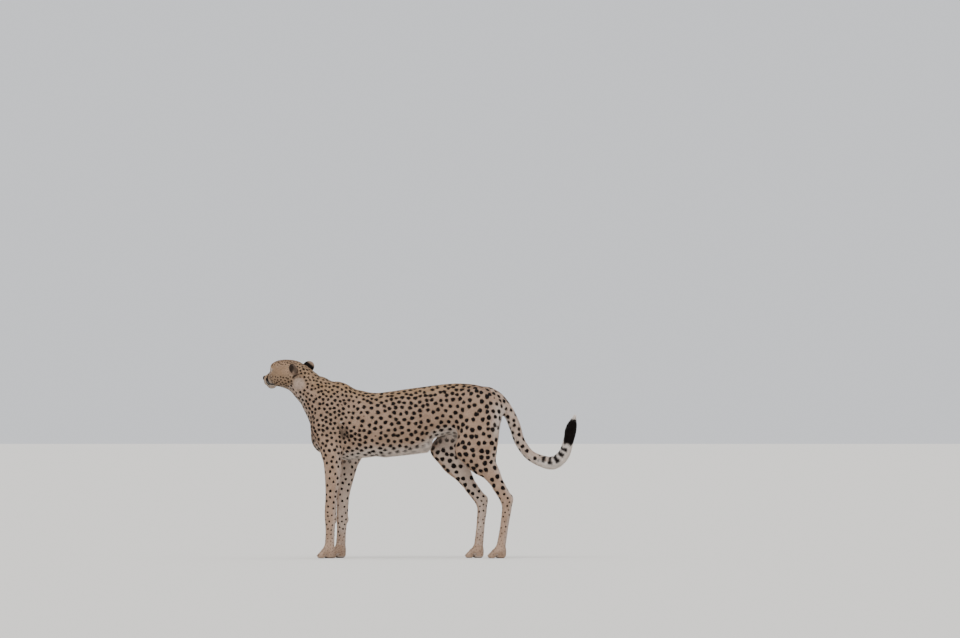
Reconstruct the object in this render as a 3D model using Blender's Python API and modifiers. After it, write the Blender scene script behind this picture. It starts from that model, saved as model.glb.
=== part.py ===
"""A standing cheetah at life size, as a still model, parted into its named pieces by thin cuts.

Metres, +Z up. The animal looks along -X with its head turned to +Y, its left side faces -Y, and the
origin is on the floor at the middle of its bounding box. The body is one field: at each point, about
how far outside the coat's surface that point lies. Muscles, limbs and skull are simple shapes in that
field, and smooth unions make them flow together.
"""

import math

import bmesh
import bpy
import numpy as np
import openvdb
from mathutils import Matrix, Vector

# Driving sizes of the animal.
CUT = 0.0005  # width of the saw cut between two pieces

# Trunk: along X, the height of back and belly, and the half width.
TRUNK_X = (-0.408, -0.380, -0.336, -0.269, -0.202, -0.136, -0.069, -0.002, 0.051, 0.109, 0.176, 0.243, 0.300)
TRUNK_TOP = (0.774, 0.782, 0.769, 0.748, 0.736, 0.742, 0.752, 0.761, 0.768, 0.775, 0.778, 0.770, 0.748)
TRUNK_BOTTOM = (0.458, 0.446, 0.436, 0.442, 0.450, 0.459, 0.470, 0.490, 0.524, 0.545, 0.552, 0.570, 0.600)
TRUNK_HALF = (0.074, 0.084, 0.091, 0.098, 0.100, 0.098, 0.091, 0.081, 0.074, 0.073, 0.076, 0.078, 0.066)

# Neck: centre, half depth seen from the side, from the chest up to the skull.
NECK = (
    ((-0.396, 0.000, 0.655), 0.108),
    ((-0.434, 0.000, 0.698), 0.094),
    ((-0.460, 0.000, 0.728), 0.084),
    ((-0.489, 0.001, 0.750), 0.074),
    ((-0.517, 0.006, 0.777), 0.070),
    ((-0.550, 0.016, 0.803), 0.060),
)
NECK_SLIM = 0.84  # the neck's width over its depth

# Head: a frame of its own, with x forward, y to the animal's left and z up, from the braincase's middle.
HEAD_AT = Vector((-0.599, 0.036, 0.820))
HEAD_YAW = math.radians(150)  # the way the nose points, counted from +X
HEAD_ROLL = math.radians(-5)
HEAD_X = (-0.082, -0.066, -0.040, -0.010, 0.020, 0.042, 0.056, 0.068, 0.080, 0.090, 0.095)
HEAD_TOP = (0.036, 0.049, 0.060, 0.064, 0.063, 0.058, 0.046, 0.025, 0.009, 0.002, -0.003)
HEAD_BOTTOM = (-0.032, -0.048, -0.060, -0.063, -0.060, -0.056, -0.056, -0.059, -0.059, -0.052, -0.044)
HEAD_HALF = (0.034, 0.050, 0.062, 0.066, 0.063, 0.055, 0.046, 0.038, 0.033, 0.027, 0.020)
EYE_AT = (0.043, 0.031, 0.018)
EYE_RADIUS = 0.0165
EYE_LOOK = (0.88, 0.47, 0.00)  # the way an eye faces
NOSE_AT = (0.1070, 0.0, -0.018)
NOSE_SIZE = (0.0125, 0.0170, 0.0115)  # half sizes

# Tail: points along its middle and its radius there.
TAIL = (
    ((0.300, 0.000, 0.722), 0.036),
    ((0.350, 0.000, 0.698), 0.031),
    ((0.392, 0.000, 0.648), 0.0265),
    ((0.420, 0.002, 0.586), 0.0265),
    ((0.441, 0.006, 0.522), 0.0245),
    ((0.482, 0.010, 0.463), 0.0240),
    ((0.538, 0.012, 0.432), 0.0270),
    ((0.592, 0.010, 0.424), 0.0305),
    ((0.636, 0.006, 0.458), 0.0275),
    ((0.657, 0.003, 0.515), 0.0245),
    ((0.669, 0.000, 0.568), 0.0270),
    ((0.682, 0.000, 0.614), 0.0130),
)

# Limbs: joints as (x, y, z) with the radius there. The left side faces -Y.
FORE_LEFT = {
    "shoulder": ((-0.430, -0.060, 0.585), 0.050),
    "elbow": ((-0.394, -0.068, 0.472), 0.042),
    "forearm": ((-0.388, -0.066, 0.372), 0.0375),
    "shank": ((-0.395, -0.062, 0.280), 0.0275),
    "carpus": ((-0.400, -0.059, 0.196), 0.0260),
    "cannon": ((-0.401, -0.057, 0.120), 0.0210),
    "knuckle": ((-0.404, -0.056, 0.050), 0.0220),
}
FORE_RIGHT = {
    "shoulder": ((-0.406, 0.060, 0.585), 0.050),
    "elbow": ((-0.306, 0.068, 0.468), 0.043),
    "forearm": ((-0.332, 0.066, 0.366), 0.0375),
    "shank": ((-0.344, 0.062, 0.276), 0.0275),
    "carpus": ((-0.349, 0.059, 0.194), 0.0260),
    "cannon": ((-0.352, 0.057, 0.120), 0.0210),
    "knuckle": ((-0.356, 0.056, 0.050), 0.0220),
}
HIND_LEFT = {
    "hip": ((0.252, -0.042, 0.686), 0.074),
    "knee": ((0.204, -0.068, 0.482), 0.046),
    "calf": ((0.262, -0.068, 0.432), 0.057),
    "shin": ((0.308, -0.065, 0.388), 0.042),
    "ankle": ((0.350, -0.062, 0.318), 0.0265),
    "hock": ((0.384, -0.060, 0.252), 0.0235),
    "cannon": ((0.374, -0.059, 0.150), 0.0190),
    "knuckle": ((0.358, -0.059, 0.050), 0.0205),
}
HIND_RIGHT = {
    "hip": ((0.238, 0.042, 0.686), 0.074),
    "knee": ((0.096, 0.068, 0.482), 0.046),
    "calf": ((0.146, 0.068, 0.430), 0.057),
    "shin": ((0.182, 0.065, 0.382), 0.042),
    "ankle": ((0.228, 0.062, 0.312), 0.0265),
    "hock": ((0.272, 0.060, 0.248), 0.0235),
    "cannon": ((0.268, 0.059, 0.150), 0.0190),
    "knuckle": ((0.258, 0.059, 0.050), 0.0205),
}


FORE_PAW = (0.0215, 0.046)  # sideways reach of the outer toes, and how far the toes reach ahead
HIND_PAW = (0.0195, 0.050)
FORE_LEGS = {"left": FORE_LEFT, "right": FORE_RIGHT}
HIND_LEGS = {"left": HIND_LEFT, "right": HIND_RIGHT}


def unit(vector):
    return Vector(vector).normalized()


def head_point(x, y, z):
    """A place in the head's own frame, as world coordinates."""
    return HEAD_AT + HEAD_TURN @ Vector((x, y, z))


HEAD_TURN = Matrix.Rotation(HEAD_YAW, 3, "Z") @ Matrix.Rotation(HEAD_ROLL, 3, "X")


# --- Field shapes. Each takes x, y and z arrays and returns a distance; its box says where it matters.


class Shape:
    """A distance function with the box that holds its surface, and how far its joins with others reach."""

    def __init__(self, distance, low, high, reach=0.02, cuts=False):
        self.distance, self.reach, self.cuts = distance, reach, cuts
        self.low = np.array(low) - 2.0 * reach
        self.high = np.array(high) + 2.0 * reach


def taper(a, b, radius_a, radius_b, flat=1.0, **how):
    """A limb segment from a to b. Its radius runs from one to the other; flat scales it along Y."""
    a, b = np.array(a, float), np.array(b, float)
    run = b - a
    length = float(run @ run)

    def distance(x, y, z):
        t = ((x - a[0]) * run[0] + (y - a[1]) * run[1] + (z - a[2]) * run[2]) / length
        t = np.clip(t, 0.0, 1.0)
        off = (x - a[0] - t * run[0]) ** 2 + ((y - a[1] - t * run[1]) / flat) ** 2
        off += (z - a[2] - t * run[2]) ** 2
        return np.sqrt(off) - (radius_a + (radius_b - radius_a) * t)

    low = np.minimum(a - radius_a, b - radius_b)
    high = np.maximum(a + radius_a, b + radius_b)
    return Shape(distance, low, high, **how)


def egg(centre, radii, turn=None, **how):
    """An ellipsoid. turn is the rotation from its own axes to the world."""
    centre, radii = np.array(centre, float), np.array(radii, float)
    turn = np.eye(3) if turn is None else np.array(turn)

    def distance(x, y, z):
        x, y, z = x - centre[0], y - centre[1], z - centre[2]
        own = [x * turn[0, i] + y * turn[1, i] + z * turn[2, i] for i in range(3)]
        near = np.sqrt(sum((own[i] / radii[i]) ** 2 for i in range(3)))
        slope = np.sqrt(sum((own[i] / radii[i] ** 2) ** 2 for i in range(3)))
        return near * (near - 1.0) / np.maximum(slope, 1e-6)

    most = radii.max()
    return Shape(distance, centre - most, centre + most, **how)


def profile(stations, values):
    """A smooth curve through the values: cubic pieces whose slopes come from the neighbours."""
    stations, values = np.array(stations, float), np.array(values, float)
    slopes = np.gradient(values, stations)

    def value(x):
        i = np.clip(np.searchsorted(stations, x) - 1, 0, len(stations) - 2)
        gap = stations[i + 1] - stations[i]
        t = np.clip((x - stations[i]) / gap, 0.0, 1.0)
        start = (1 + 2 * t) * (1 - t) ** 2 * values[i] + t * (1 - t) ** 2 * gap * slopes[i]
        return start + t * t * (3 - 2 * t) * values[i + 1] + t * t * (t - 1) * gap * slopes[i + 1]

    return value


def loft(stations, top, bottom, half, at=(0, 0, 0), turn=None, **how):
    """An oval section carried along its own x axis; past each end it closes as a round cap."""
    at = np.array(at, float)
    turn = np.eye(3) if turn is None else np.array(turn)
    middle = profile(stations, (np.array(top) + np.array(bottom)) / 2)
    tall = profile(stations, (np.array(top) - np.array(bottom)) / 2)
    wide = profile(stations, half)

    def distance(x, y, z):
        x, y, z = x - at[0], y - at[1], z - at[2]
        own = [x * turn[0, i] + y * turn[1, i] + z * turn[2, i] for i in range(3)]
        along = np.clip(own[0], stations[0], stations[-1])
        past = own[0] - along
        w, h, up = wide(along), tall(along), own[2] - middle(along)
        cap = np.minimum(w, h)
        near = np.sqrt((own[1] / w) ** 2 + (up / h) ** 2 + (past / cap) ** 2)
        slope = np.sqrt((own[1] / w**2) ** 2 + (up / h**2) ** 2 + (past / cap**2) ** 2)
        return near * (near - 1.0) / np.maximum(slope, 1e-6)

    ends = np.array([[stations[0], -max(half), min(bottom)], [stations[-1], max(half), max(top)]])
    ends[:, 0] += (-max(half) * 0.8, max(half) * 0.8)
    corners = np.array(
        [[ends[i, 0], ends[j, 1], ends[k, 2]] for i in (0, 1) for j in (0, 1) for k in (0, 1)]
    )
    corners = corners @ turn.T + at
    return Shape(distance, corners.min(0), corners.max(0), **how)


def limb(joints, flat=1.0, steps=5, **how):
    """A round limb along a smooth curve through the joints, each a point with the radius there."""
    points = np.array([point for point, _ in joints], float)
    knots = np.arange(len(joints))
    at = np.linspace(0, len(joints) - 1, steps * (len(joints) - 1) + 1)
    line = np.stack([profile(knots, points[:, axis])(at) for axis in range(3)], axis=1)
    radii = profile(knots, [radius for _, radius in joints])(at)
    ends = zip(line, line[1:], radii, radii[1:])
    parts = [taper(a, b, radius_a, radius_b, flat, **how) for a, b, radius_a, radius_b in ends]

    def distance(x, y, z):
        nearest = parts[0].distance(x, y, z)
        for part in parts[1:]:
            nearest = np.minimum(nearest, part.distance(x, y, z))
        return nearest

    most = radii.max()
    return Shape(distance, line.min(0) - most, line.max(0) + most, **how)


def blend(a, b, reach):
    """Smooth union of two distances: they flow together where they are within reach of each other."""
    mix = np.clip(0.5 + 0.5 * (b - a) / reach, 0.0, 1.0)
    return b + (a - b) * mix - reach * mix * (1.0 - mix)


def add_up(field, shape, x, y, z):
    """The field with one more shape joined to it, or cut from it."""
    distance = shape.distance(x, y, z)
    if shape.cuts:
        return -blend(-field, distance, shape.reach)
    return blend(field, distance, shape.reach)


# --- The animal's own shapes


def trunk_shapes():
    """Rib cage and belly as one loft, with the neck rising from the chest, the brisket and the belly's loose skin."""
    yield loft(TRUNK_X, TRUNK_TOP, TRUNK_BOTTOM, TRUNK_HALF, reach=0.03)
    yield limb(NECK, NECK_SLIM, reach=0.03)
    yield egg((-0.436, 0, 0.538), (0.049, 0.050, 0.064), reach=0.03)
    yield taper((-0.150, 0, 0.503), (0.012, 0, 0.502), 0.046, 0.037, 1.10, reach=0.04)


def fore_shapes(leg, side):
    """Shoulder blade, upper arm, forearm and pastern. side is -1 on the left."""
    shoulder, elbow = leg["shoulder"][0], leg["elbow"][0]
    withers = (-0.352, side * 0.030, 0.738)
    yield taper(withers, shoulder, 0.030, 0.048, 0.80, reach=0.05)
    yield taper(shoulder, elbow, 0.046, 0.040, 0.80, reach=0.03)
    triceps = Vector(elbow) + Vector((0.016, -side * 0.008, 0.130))
    yield taper(triceps, elbow, 0.048, 0.036, 0.66, reach=0.03)
    joints = ("elbow", "forearm", "shank", "carpus", "cannon", "knuckle")
    yield limb([leg[name] for name in joints], 0.86, reach=0.02)
    yield egg(Vector(elbow) + Vector((0.018, 0, 0.018)), (0.022, 0.019, 0.026), reach=0.016)
    yield egg(Vector(leg["carpus"][0]) + Vector((0.018, 0, -0.022)), (0.010, 0.010, 0.014), reach=0.012)


def hind_shapes(leg, side):
    """Thigh with its ham, calf, heel and pastern."""
    hip, knee, calf, hock = (Vector(leg[name][0]) for name in ("hip", "knee", "calf", "hock"))
    seat = Vector((0.308, side * 0.040, 0.655))
    ham = knee.lerp(calf, 0.4) + Vector((0.060, 0, 0.075))
    back_of_knee = knee.lerp(calf, 0.5) + Vector((0.046, 0, 0.020))
    yield taper(hip, knee, 0.074, 0.044, 0.76, reach=0.04)
    yield limb([(seat, 0.056), (ham, 0.058), (back_of_knee, 0.052)], 0.68, reach=0.04)
    yield taper(hip + Vector((0, 0, -0.03)), back_of_knee, 0.074, 0.050, 0.70, reach=0.04)
    yield limb([leg[name] for name in ("knee", "calf", "shin", "ankle", "hock")], 0.70, reach=0.03)
    yield limb([leg[name] for name in ("ankle", "hock", "cannon", "knuckle")], 0.90, reach=0.012)
    yield egg(hock + Vector((0.014, 0, 0.014)), (0.013, 0.013, 0.018), reach=0.014)


def toes(leg, spread, length):
    """The root, the raised joint and the tip of each of a paw's four toes; the outer ones stand back."""
    x, y, _ = leg["knuckle"][0]
    for place in (-1.0, -0.34, 0.34, 1.0):
        back = 0.010 * abs(place)
        root = (x - 0.010 + back, y + 0.75 * place * spread, 0.034)
        joint = (x - length * 0.62 + back, y + 0.92 * place * spread, 0.0285)
        yield root, joint, (x - length + back, y + place * spread, 0.0120)


def paw_shapes(leg, spread, length):
    """Four toes with raised knuckles round one main pad."""
    x, y, _ = leg["knuckle"][0]
    yield egg((x - 0.006, y, 0.026), (0.030, spread * 1.25, 0.028), reach=0.016)
    yield egg((x + 0.002, y, 0.012), (0.018, spread * 0.95, 0.014), reach=0.010)
    for root, joint, tip in toes(leg, spread, length):
        yield taper(root, joint, 0.0125, 0.0120, reach=0.008)
        yield taper(joint, tip, 0.0120, 0.0118, reach=0.006)
        yield egg((tip[0] + 0.003, tip[1], 0.007), (0.013, 0.0095, 0.0095), reach=0.005)


def skull_shapes():
    """Braincase to muzzle as one loft, with brows, cheeks, whisker pads and chin, and sockets cut in."""
    turn = HEAD_TURN
    yield loft(HEAD_X, HEAD_TOP, HEAD_BOTTOM, HEAD_HALF, HEAD_AT, turn, reach=0.030)
    for side in (1, -1):
        yield egg(head_point(0.014, side * 0.044, -0.016), (0.034, 0.020, 0.030), turn, reach=0.02)
        yield egg(head_point(0.084, side * 0.017, -0.032), (0.018, 0.019, 0.020), turn, reach=0.012)
        brow_in, brow_out = head_point(0.052, side * 0.010, 0.036), head_point(0.042, side * 0.036, 0.036)
        yield taper(brow_in, brow_out, 0.0110, 0.0110, reach=0.020)
        look = unit((EYE_LOOK[0], side * EYE_LOOK[1], EYE_LOOK[2]))
        front = Vector((EYE_AT[0], side * EYE_AT[1], EYE_AT[2])) + look * EYE_RADIUS
        yield egg(head_point(*front), (0.009, 0.014, 0.011), turn, cuts=True, reach=0.008)
    yield egg(head_point(0.076, 0, -0.053), (0.016, 0.018, 0.012), turn, reach=0.012)


EAR_BASE = (-0.072, 0.057, 0.016)
EAR_UP = (-0.50, 0.50, 0.70)  # from the base to the tip
EAR_OPEN = (0.12, 0.98, 0.0)  # the way the cup faces


def ear_frame(side):
    """Axes of one ear: where its cup faces, across it, and up to its tip. side is 1 on the left."""
    up = unit((EAR_UP[0], side * EAR_UP[1], EAR_UP[2]))
    across = up.cross(Vector((EAR_OPEN[0], side * EAR_OPEN[1], EAR_OPEN[2]))).normalized()
    face = across.cross(up)
    own = Matrix((face, across, up)).transposed()
    return HEAD_TURN @ own


def ear_shapes(side):
    """A rounded cup: an egg with a smaller one taken out of its open side."""
    turn = ear_frame(side)
    middle = head_point(EAR_BASE[0], side * EAR_BASE[1], EAR_BASE[2]) + turn @ Vector((0, 0, 0.014))
    yield egg(middle, (0.0145, 0.026, 0.028), turn, reach=0.016)
    hollow_at = middle + turn @ Vector((0.013, 0, 0.007))
    yield egg(hollow_at, (0.013, 0.0190, 0.0180), turn, cuts=True, reach=0.004)


def body_shapes():
    """Every shape of the flesh, in the order they are joined."""
    yield from trunk_shapes()
    for leg, side in ((FORE_LEFT, -1), (FORE_RIGHT, 1)):
        yield from fore_shapes(leg, side)
        yield from paw_shapes(leg, *FORE_PAW)
    for leg, side in ((HIND_LEFT, -1), (HIND_RIGHT, 1)):
        yield from hind_shapes(leg, side)
        yield from paw_shapes(leg, *HIND_PAW)
    yield limb(TAIL, reach=0.03)
    yield from skull_shapes()
    for side in (1, -1):
        yield from ear_shapes(side)


def grid_lines(spans):
    """Grid lines along one axis, from (end, step) pairs after a start value."""
    start, lines = spans[0], []
    for end, step in spans[1:]:
        count = max(1, round((end - start) / step))
        lines.append(start + (end - start) * np.arange(count) / count)
        start = end
    return np.concatenate(lines + [[start]])


def field_at(shapes, points):
    """The joined field at single points."""
    field = np.full(len(points), 0.05)
    for shape in shapes:
        near = np.flatnonzero(((points > shape.low) & (points < shape.high)).all(axis=1))
        field[near] = add_up(field[near], shape, *points[near].T)
    return field


def slope_at(shapes, points, step=0.0004):
    """The field's gradient, from values a step apart on each axis."""
    steps = step * np.eye(3)
    sides = [field_at(shapes, points + along) - field_at(shapes, points - along) for along in steps]
    return np.stack(sides, axis=1) / (2 * step)


def meshed(shapes, spans):
    """Points and quads where the joined field is zero, on a grid that is finer where the spans say."""
    lines = [grid_lines(axis).astype(np.float32) for axis in spans]
    field = np.full([len(line) for line in lines], 0.05, np.float32)
    for shape in shapes:
        part = tuple(
            slice(*np.searchsorted(line, (low, high)))
            for line, low, high in zip(lines, shape.low, shape.high)
        )
        x, y, z = (line[cut] for line, cut in zip(lines, part))
        if min(len(x), len(y), len(z)):
            field[part] = add_up(field[part], shape, x[:, None, None], y[None, :, None], z[None, None, :])
    grid = openvdb.FloatGrid(0.05)
    grid.copyFromArray(field)
    points, quads = grid.convertToQuads(0.0)
    placed = [np.interp(points[:, axis], np.arange(len(lines[axis])), lines[axis]) for axis in range(3)]
    points = np.stack(placed, axis=1)
    for _ in range(2):
        slope = slope_at(shapes, points)
        points -= slope * (field_at(shapes, points) / np.maximum((slope**2).sum(axis=1), 0.1))[:, None]
    return points, quads


# --- From field to solids


FINE, COARSE = 0.003, 0.006  # grid steps on the head and paws, and elsewhere
GRID = (
    (-0.76, (-0.50, FINE), (0.74, COARSE)),
    (-0.17, (0.19, 0.004)),
    (-0.02, (0.07, FINE), (0.74, COARSE), (0.93, FINE)),
)
BODY_FACES = 3200
PAW_TOP = 0.062  # height of the cut above each paw


def object_of(name, points, faces, collection):
    mesh = bpy.data.meshes.new(name)
    mesh.from_pydata(points, [], faces)
    mesh.update()
    made = bpy.data.objects.new(name, mesh)
    collection.objects.link(made)
    return made


def apply_modifiers(target):
    """Replaces the object's mesh by the one its modifiers make."""
    graph = bpy.context.evaluated_depsgraph_get()
    mesh = bpy.data.meshes.new_from_object(target.evaluated_get(graph))
    target.modifiers.clear()
    target.data = mesh


def rounded_body(collection):
    """The whole flesh as one closed mesh, light where it is plain."""
    points, quads = meshed(list(body_shapes()), GRID)
    body = object_of("body", points.tolist(), quads[:, ::-1].tolist(), collection)
    lighten = body.modifiers.new("lighten", "DECIMATE")
    lighten.ratio = BODY_FACES / (2 * len(quads))
    apply_modifiers(body)
    return body


def outward(made):
    """Turns every face of a closed mesh to point out."""
    shape = bmesh.new()
    shape.from_mesh(made.data)
    bmesh.ops.recalc_face_normals(shape, faces=shape.faces)
    shape.to_mesh(made.data)
    shape.free()


def prism(name, outline, low, high, collection, turn=None, at=(0, 0, 0)):
    """A closed prism: an outline of (x, z) points, carried along y from low to high."""
    turn = Matrix.Identity(3) if turn is None else turn
    count = len(outline)
    rings = [[Vector(at) + turn @ Vector((x, y, z)) for x, z in outline] for y in (low, high)]
    sides = [(i, (i + 1) % count, count + (i + 1) % count, count + i) for i in range(count)]
    faces = sides + [tuple(range(count))[::-1], tuple(range(count, 2 * count))]
    made = object_of(name, rings[0] + rings[1], faces, collection)
    outward(made)
    return made


def hollow(cutter):
    """Leaves only a wall of the saw's width, so that the cut parts what is inside from the rest."""
    wall = cutter.modifiers.new("wall", "SOLIDIFY")
    wall.thickness = CUT
    wall.offset = -1.0
    apply_modifiers(cutter)
    return cutter


def saw(name, at, normal, width, collection):
    """A thin square blade at a place, across the given direction."""
    turn = unit(normal).to_track_quat("Z", "Y").to_matrix()
    half, thin = width / 2, CUT / 2
    outline = ((-half, -thin), (half, -thin), (half, thin), (-half, thin))
    return prism(name, outline, -half, half, collection, turn, at)


def leg_cuts(leg, end, side, collection):
    """Parts a leg from the trunk with a hollow prism, and then at the middle joint and above the paw."""
    inner, outer = side * 0.024, side * 0.20
    low, high = min(inner, outer), max(inner, outer)
    if end == "fore":
        x, z = leg["elbow"][0][0], leg["elbow"][0][2]
        outline = (
            (x - 0.070, z - 0.052),
            (x + 0.080, z - 0.030),
            (x + 0.066, z + 0.080),
            (x + 0.020, z + 0.160),
            (x - 0.052, z + 0.190),
            (x - 0.120, z + 0.120),
            (x - 0.110, z + 0.020),
        )
        middle, along = leg["carpus"][0], (0.02, 0, 1)
    else:
        x, z = leg["knee"][0][0], leg["knee"][0][2]
        hip_x, hip_z = leg["hip"][0][0], leg["hip"][0][2]
        outline = (
            (x - 0.075, z - 0.040),
            (x + 0.010, z - 0.075),
            (x + 0.180, z - 0.020),
            (hip_x + 0.146, z + 0.080),
            (hip_x + 0.125, hip_z - 0.020),
            (hip_x + 0.040, hip_z + 0.035),
            (hip_x - 0.070, hip_z + 0.005),
            (x - 0.060, z + 0.085),
        )
        middle, along = leg["hock"][0], (-0.55, 0, 1)
    yield hollow(prism(f"cut_{end}_{side}", outline, low, high, collection))
    yield saw(f"cut_{end}_middle_{side}", Vector(middle) + Vector((0, 0, 0.026)), along, 0.110, collection)
    ankle = Vector((leg["knuckle"][0][0], leg["knuckle"][0][1], PAW_TOP))
    yield saw(f"cut_{end}_paw_{side}", ankle, (0, 0, 1), 0.100, collection)


MOUTH = (  # outline that parts the lower jaw, in the head's frame
    (0.130, -0.045),
    (0.050, -0.051),
    (-0.006, -0.042),
    (-0.036, -0.068),
    (-0.030, -0.100),
    (0.130, -0.100),
)
EAR_CUT = (0.019, 0.0275, 0.030)  # half sizes of the shell that parts an ear from the head
TAIL_ROOT = (0.386, 0, 0.660)  # where the tail is parted from the rump
TAIL_CUTS = (4, 6, 8, 9)  # the tail's points where it is parted again


def cutters(collection):
    """Every cutter, in the order the saw goes."""
    turn = HEAD_TURN
    yield saw("cut_nape", head_point(-0.094, 0, 0), turn @ Vector((1, 0, 0.45)), 0.30, collection)
    yield saw("cut_neck", (-0.458, 0, 0.716), (-0.92, 0, 0.39), 0.34, collection)
    yield saw("cut_chest", (-0.110, 0, 0.62), (1, 0, 0), 0.44, collection)
    yield saw("cut_loin", (0.010, 0, 0.66), (1, 0, 0), 0.36, collection)
    for leg, end, side in (
        (FORE_LEFT, "fore", -1),
        (FORE_RIGHT, "fore", 1),
        (HIND_LEFT, "hind", -1),
        (HIND_RIGHT, "hind", 1),
    ):
        yield from leg_cuts(leg, end, side, collection)
    yield saw("cut_tail_root", TAIL_ROOT, (1, 0, -0.3), 0.130, collection)
    for i in TAIL_CUTS:
        along = Vector(TAIL[i + 1][0]) - Vector(TAIL[i - 1][0])
        yield saw(f"cut_tail_{i}", TAIL[i][0], along, 0.100, collection)
    for side in (1, -1):
        own = ear_frame(side)
        middle = head_point(EAR_BASE[0], side * EAR_BASE[1], EAR_BASE[2]) + own @ Vector((0, 0, 0.014))
        shell_at = middle + own @ Vector((0, 0, 0.003))
        yield hollow(ball(f"cut_ear_{side}", shell_at, EAR_CUT, collection, own))
    yield hollow(prism("cut_mouth", MOUTH, -0.09, 0.09, collection, turn, HEAD_AT))


def ball(name, centre, radii, collection, turn=None, segments=14, rings=10):
    """An ellipsoid mesh from a sphere."""
    made = object_of(name, [], [], collection)
    shape = bmesh.new()
    bmesh.ops.create_uvsphere(shape, u_segments=segments, v_segments=rings, radius=1.0)
    turn = Matrix.Identity(3) if turn is None else turn
    place = Matrix.Translation(centre) @ turn.to_4x4() @ Matrix.Diagonal((*radii, 1.0))
    bmesh.ops.transform(shape, matrix=place, verts=shape.verts)
    shape.to_mesh(made.data)
    shape.free()
    return made


def boolean(target, other, operation="DIFFERENCE"):
    step = target.modifiers.new(other.name, "BOOLEAN")
    step.operation = operation
    step.object = other
    step.solver = "EXACT"


def eye_centre(side):
    return head_point(EYE_AT[0], side * EYE_AT[1], EYE_AT[2])


def face_pieces(parts, helpers):
    """Makes the eyes and the nose, and gives the cutter that makes room for each."""
    for side, name in ((1, "eye_left"), (-1, "eye_right")):
        ball(name, eye_centre(side), [EYE_RADIUS] * 3, parts, HEAD_TURN)
        yield ball(name + "_room", eye_centre(side), [EYE_RADIUS + CUT] * 3, helpers, HEAD_TURN)
    ball("nose", head_point(*NOSE_AT), NOSE_SIZE, parts, HEAD_TURN, 12, 8)
    room = [size + CUT for size in NOSE_SIZE]
    yield ball("nose_room", head_point(*NOSE_AT), room, helpers, HEAD_TURN, 12, 8)


def claw(name, toe, collection):
    """A short blunt claw, bent down once, rooted in the front of a toe."""
    bends = ((0.002, 0.0010, 0.0032), (0.0105, -0.0010, 0.0025), (0.0165, -0.0060, 0.0009))
    sides = 8
    rings = []
    for ahead, up, size in bends:
        middle = Vector(toe) + Vector((-ahead, 0, up))
        turns = [2 * math.pi * i / sides for i in range(sides)]
        rings += [
            middle + size * Vector((0.3 * math.sin(turn), math.cos(turn), math.sin(turn)))
            for turn in turns
        ]
    faces = [tuple(range(sides))[::-1], tuple(range(2 * sides, 3 * sides))]
    for start in (0, sides):
        faces += [
            (start + i, start + (i + 1) % sides, start + sides + (i + 1) % sides, start + sides + i)
            for i in range(sides)
        ]
    made = object_of(name, rings, faces, collection)
    outward(made)
    return made


def loose_parts(body):
    """The separate closed pieces of a mesh, each as its own object, with the middle and size of its box."""
    bpy.context.view_layer.objects.active = body
    body.select_set(True)
    bpy.ops.object.mode_set(mode="EDIT")
    bpy.ops.mesh.select_all(action="SELECT")
    bpy.ops.mesh.separate(type="LOOSE")
    bpy.ops.object.mode_set(mode="OBJECT")
    for piece in list(bpy.context.selected_objects):
        piece.select_set(False)
        low, high = boxed([piece])
        yield piece, (low + high) / 2, max(high - low)


def middle_of(*points):
    return sum((Vector(point) for point in points), Vector()) / len(points)


def flesh_places():
    """About where each piece of flesh has its middle, by name."""
    found = {
        "head": head_point(0.01, 0, 0.01),
        "lower_jaw": head_point(0.05, 0, -0.058),
        "neck": middle_of(NECK[2][0], NECK[3][0]),
        "trunk_chest": Vector((-0.30, 0, 0.60)),
        "trunk_loin": Vector((-0.05, 0, 0.62)),
        "trunk_rump": Vector((0.23, 0, 0.64)),
    }
    for side, name in ((1, "ear_left"), (-1, "ear_right")):
        base = head_point(EAR_BASE[0], side * EAR_BASE[1], EAR_BASE[2])
        found[name] = base + ear_frame(side) @ Vector((0, 0, 0.02))
    ends = [TAIL_ROOT, *(TAIL[i][0] for i in TAIL_CUTS), TAIL[-1][0]]
    for number, (start, end) in enumerate(zip(ends, ends[1:]), 1):
        found[f"tail_{number}"] = middle_of(start, end)
    for side, leg in FORE_LEGS.items():
        names = ("upper_arm", "forearm", "fore_foot", "fore_paw")
        found |= leg_places(leg, side, ("shoulder", "elbow", "carpus"), names)
    for side, leg in HIND_LEGS.items():
        names = ("thigh", "shin", "hind_foot", "hind_paw")
        found |= leg_places(leg, side, ("hip", "knee", "hock"), names)
        found[f"thigh_{side}"] += Vector((0.03, 0, -0.02))
    return found


def leg_places(leg, side, joints, names):
    """The middles of a leg's four pieces, between its joints."""
    stops = [Vector(leg[joint][0]) for joint in (*joints, "knuckle")]
    stops.append(Vector((stops[-1].x - 0.03, stops[-1].y, 0)))
    return {f"{name}_{side}": middle_of(a, b) for name, a, b in zip(names, stops, stops[1:])}


CRUMB = 0.015  # a loose bit smaller than this is dust from the saw


def name_pieces(body):
    """Gives each loose piece of the body the name of the nearest place, the closest pairs first."""
    pieces = []
    for piece, middle, size in loose_parts(body):
        if size < CRUMB:
            bpy.data.objects.remove(piece)
        else:
            pieces.append((piece, middle))
    pairs = [
        ((place - middle).length, name, number)
        for name, place in flesh_places().items()
        for number, (_, middle) in enumerate(pieces)
    ]
    named = {}
    for _, name, number in sorted(pairs):
        if name not in named and number not in named.values():
            named[name] = number
            pieces[number][0].name = name
    return {name: pieces[number][0] for name, number in named.items()}


def add_claws(pieces, helpers):
    """Joins four claws to each paw."""
    for legs, end, size in ((FORE_LEGS, "fore", FORE_PAW), (HIND_LEGS, "hind", HIND_PAW)):
        for side, leg in legs.items():
            paw = pieces[f"{end}_paw_{side}"]
            for number, (_, _, tip) in enumerate(toes(leg, *size), 1):
                boolean(paw, claw(f"claw_{end}_{side}_{number}", tip, helpers), "UNION")
                apply_modifiers(paw)


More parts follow.
